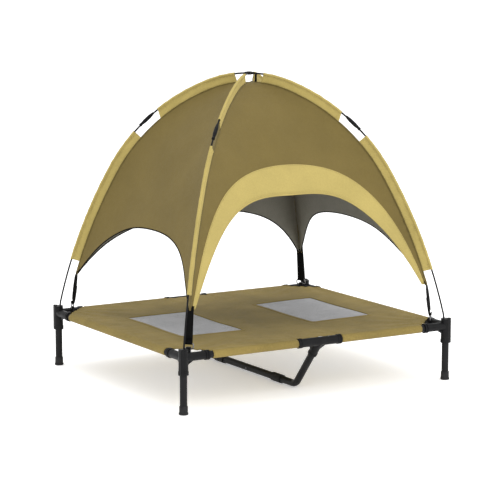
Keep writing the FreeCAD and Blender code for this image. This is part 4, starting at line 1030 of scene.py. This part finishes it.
def build_windows():
    cells = Gather()
    frames, lines = Gather(), Gather()
    level = SHEET_TOP - SHEET_GAUGE / 2
    for sx in (-1, 1):
        xs = sx * np.linspace(WIN_X[0] - WINDOW_SEAM, WIN_X[1] + WINDOW_SEAM, 26)
        ys = np.linspace(-WIN_Y - WINDOW_SEAM, WIN_Y + WINDOW_SEAM, 44)
        faces = grid_faces(len(ys), len(xs))
        if sx < 0:
            faces = [tuple(reversed(f)) for f in faces]
        cells.add(list(on_bed(*np.meshgrid(xs, ys), level - 0.0009).reshape(-1, 3)), faces)
        middle_x = sx * (WIN_X[0] + WIN_X[1]) / 2
        for grow, target in ((0.007, frames), (0.0022, lines), (0.0118, lines)):
            half_x, half_y, corner = (WIN_X[1] - WIN_X[0]) / 2 + grow, WIN_Y + grow, 0.008 + grow
            outline = []
            for turn in range(0, 360, 90):
                cx = middle_x + (half_x - corner) * (1 if turn in (0, 270) else -1)
                cy = (half_y - corner) * (1 if turn < 180 else -1)
                for part in np.radians(turn + np.linspace(0, 90, 6)):
                    outline.append((cx + corner * math.cos(part), cy + corner * math.sin(part)))
            outline = np.array(outline)
            closed = np.concatenate((outline, outline[:1]))
            place = np.concatenate(([0], np.cumsum(np.hypot(*np.diff(closed, axis=0).T))))
            spots = np.linspace(0, place[-1], 150, endpoint=False)
            px, py = np.interp(spots, place, closed[:, 0]), np.interp(spots, place, closed[:, 1])
            points = on_bed(px, py, SHEET_TOP)
            if target is frames:
                frames.add(*swept(points, UP, rounded_flat(0.014, 0.0010, 0.0, 0.0002), closed=True))
            else:
                stitches(lines, np.concatenate((points, points[:1])) + UP * 0.0008, UP)
    obj = gathered("mesh_window_cloth", cells, "mesh_cloth", "mesh", "frame")
    thicken(obj, 0.0006)
    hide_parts("mesh_windows")
    gathered("window_border", frames, "bed_cloth", "bed", "frame")
    gathered("window_stitching", lines, "bed_cloth", body="frame")
    return obj


def build_bed_stitching():
    """Double stitch lines that close the hems, and the bound corner cuts."""
    lines, edges = Gather(), Gather()
    end_x, end_y = CHAMFER - LEG_Y, CHAMFER - LEG_X
    for inset in (0.020, 0.026):
        for sy in (-1, 1):
            for sx in (-1, 1):
                x = sx * np.linspace(HALF_TEE + 0.006, end_x - 0.004 + inset * 0.9, 60)
                y = np.full_like(x, sy * (LEG_Y - inset))
                stitches(lines, on_bed(x, y, SHEET_TOP + 0.0001), UP)
        for sx in (-1, 1):
            y = np.linspace(-end_y - inset * 0.8, end_y + inset * 0.8, 110)
            x = np.full_like(y, sx * (LEG_X - inset))
            stitches(lines, on_bed(x, y, SHEET_TOP + 0.0001), UP)
    level = SHEET_TOP - SHEET_GAUGE / 2
    for sx in (-1, 1):
        for sy in (-1, 1):
            t = np.linspace(0.012, 0.988, 26)
            x = sx * (LEG_X + (end_x - LEG_X) * t)
            y = sy * (end_y + (LEG_Y - end_y) * t)
            points = on_bed(x, y, level)
            edges.add(*swept(points, UP, rounded_flat(0.007, 0.0034)))
            inner = points - np.array((sx, sy, 0)) * 0.0016 + UP * 0.0018
            stitches(lines, inner, UP)
        x = sx * np.full(8, HALF_TEE + 0.0004)
        for sy in (-1, 1):
            y = sy * np.linspace(LEG_Y - NOTCH - 0.002, LEG_Y - 0.002, 8)
            edges.add(*swept(on_bed(x, y, level), UP, rounded_flat(0.006, 0.003)))
    gathered("bed_stitching", lines, "bed_cloth", body="frame")
    gathered("bed_corner_binding", edges, "bed_cloth", "bed", "frame")


build_bed()
windows = build_windows()
build_bed_stitching()


# ---------------------------------------------------------------- stage, light and camera

FLOOR_HALF = 30.0
LIGHTS = (                       # name, place, size, watts
    ("key", (-1.0, -4.2, 3.2), (3.0, 2.4), 48),
    ("fill", (3.4, -3.0, 2.0), (2.4, 2.4), 24),
    ("top", (0.2, 0.4, 4.2), (3.4, 3.0), 50),
)
LIGHT_AIM = (0, 0, 0.45)
CAMERA_PLACE, CAMERA_LENS = (-4.0708, -6.7814, 1.7071), 161.84
CAMERA_AZIMUTH, CAMERA_ELEVATION = math.radians(31.0), math.radians(9.08)


def studio_floor():
    make = Shader("studio_floor", Roughness=0.9, Specular_IOR_Level=0.1, Emission_Strength=0.35,
                  Emission_Color=(1.0, 1.0, 1.0, 1.0))
    make.paint(make.noise(0.8, 2.0), [(0.3, (250, 250, 250)), (0.7, (253, 253, 253))])
    far = FLOOR_HALF
    mesh = bpy.data.meshes.new("studio_floor")
    mesh.from_pydata([(-far, -far, 0), (far, -far, 0), (far, far, 0), (-far, far, 0)], [], [(0, 1, 2, 3)])
    mesh.materials.append(make.material)
    floor = place_object("studio_floor", mesh)
    floor.location.z = cad_low.z - 0.0005


def area_light(name, place, size, power):
    data = bpy.data.lights.new(name, "AREA")
    data.shape = "RECTANGLE"
    data.size, data.size_y = size
    data.energy = power
    lamp = place_object(name, data)
    lamp.location = place
    lamp.rotation_euler = (Vector(LIGHT_AIM) - Vector(place)).to_track_quat("-Z", "Y").to_euler()


def studio():
    studio_floor()
    world = bpy.data.worlds.new("studio")
    world.use_nodes = True
    back = world.node_tree.nodes["Background"]
    back.inputs["Color"].default_value = (1.0, 1.0, 1.0, 1.0)
    back.inputs["Strength"].default_value = 1.05
    bpy.context.scene.world = world
    for light in LIGHTS:
        area_light(*light)
    bpy.context.scene.view_settings.view_transform = "Standard"
    data = bpy.data.cameras.new("camera")
    data.lens, data.sensor_width = CAMERA_LENS, 36.0
    data.clip_start, data.clip_end = 0.1, 100
    camera = place_object("camera", data)
    camera.location = CAMERA_PLACE
    level = math.cos(CAMERA_ELEVATION)
    forward = Vector((math.sin(CAMERA_AZIMUTH) * level, math.cos(CAMERA_AZIMUTH) * level,
                      -math.sin(CAMERA_ELEVATION)))
    camera.rotation_euler = forward.to_track_quat("-Z", "Y").to_euler()
    bpy.context.scene.camera = camera


studio()

bpy.context.view_layer.update()
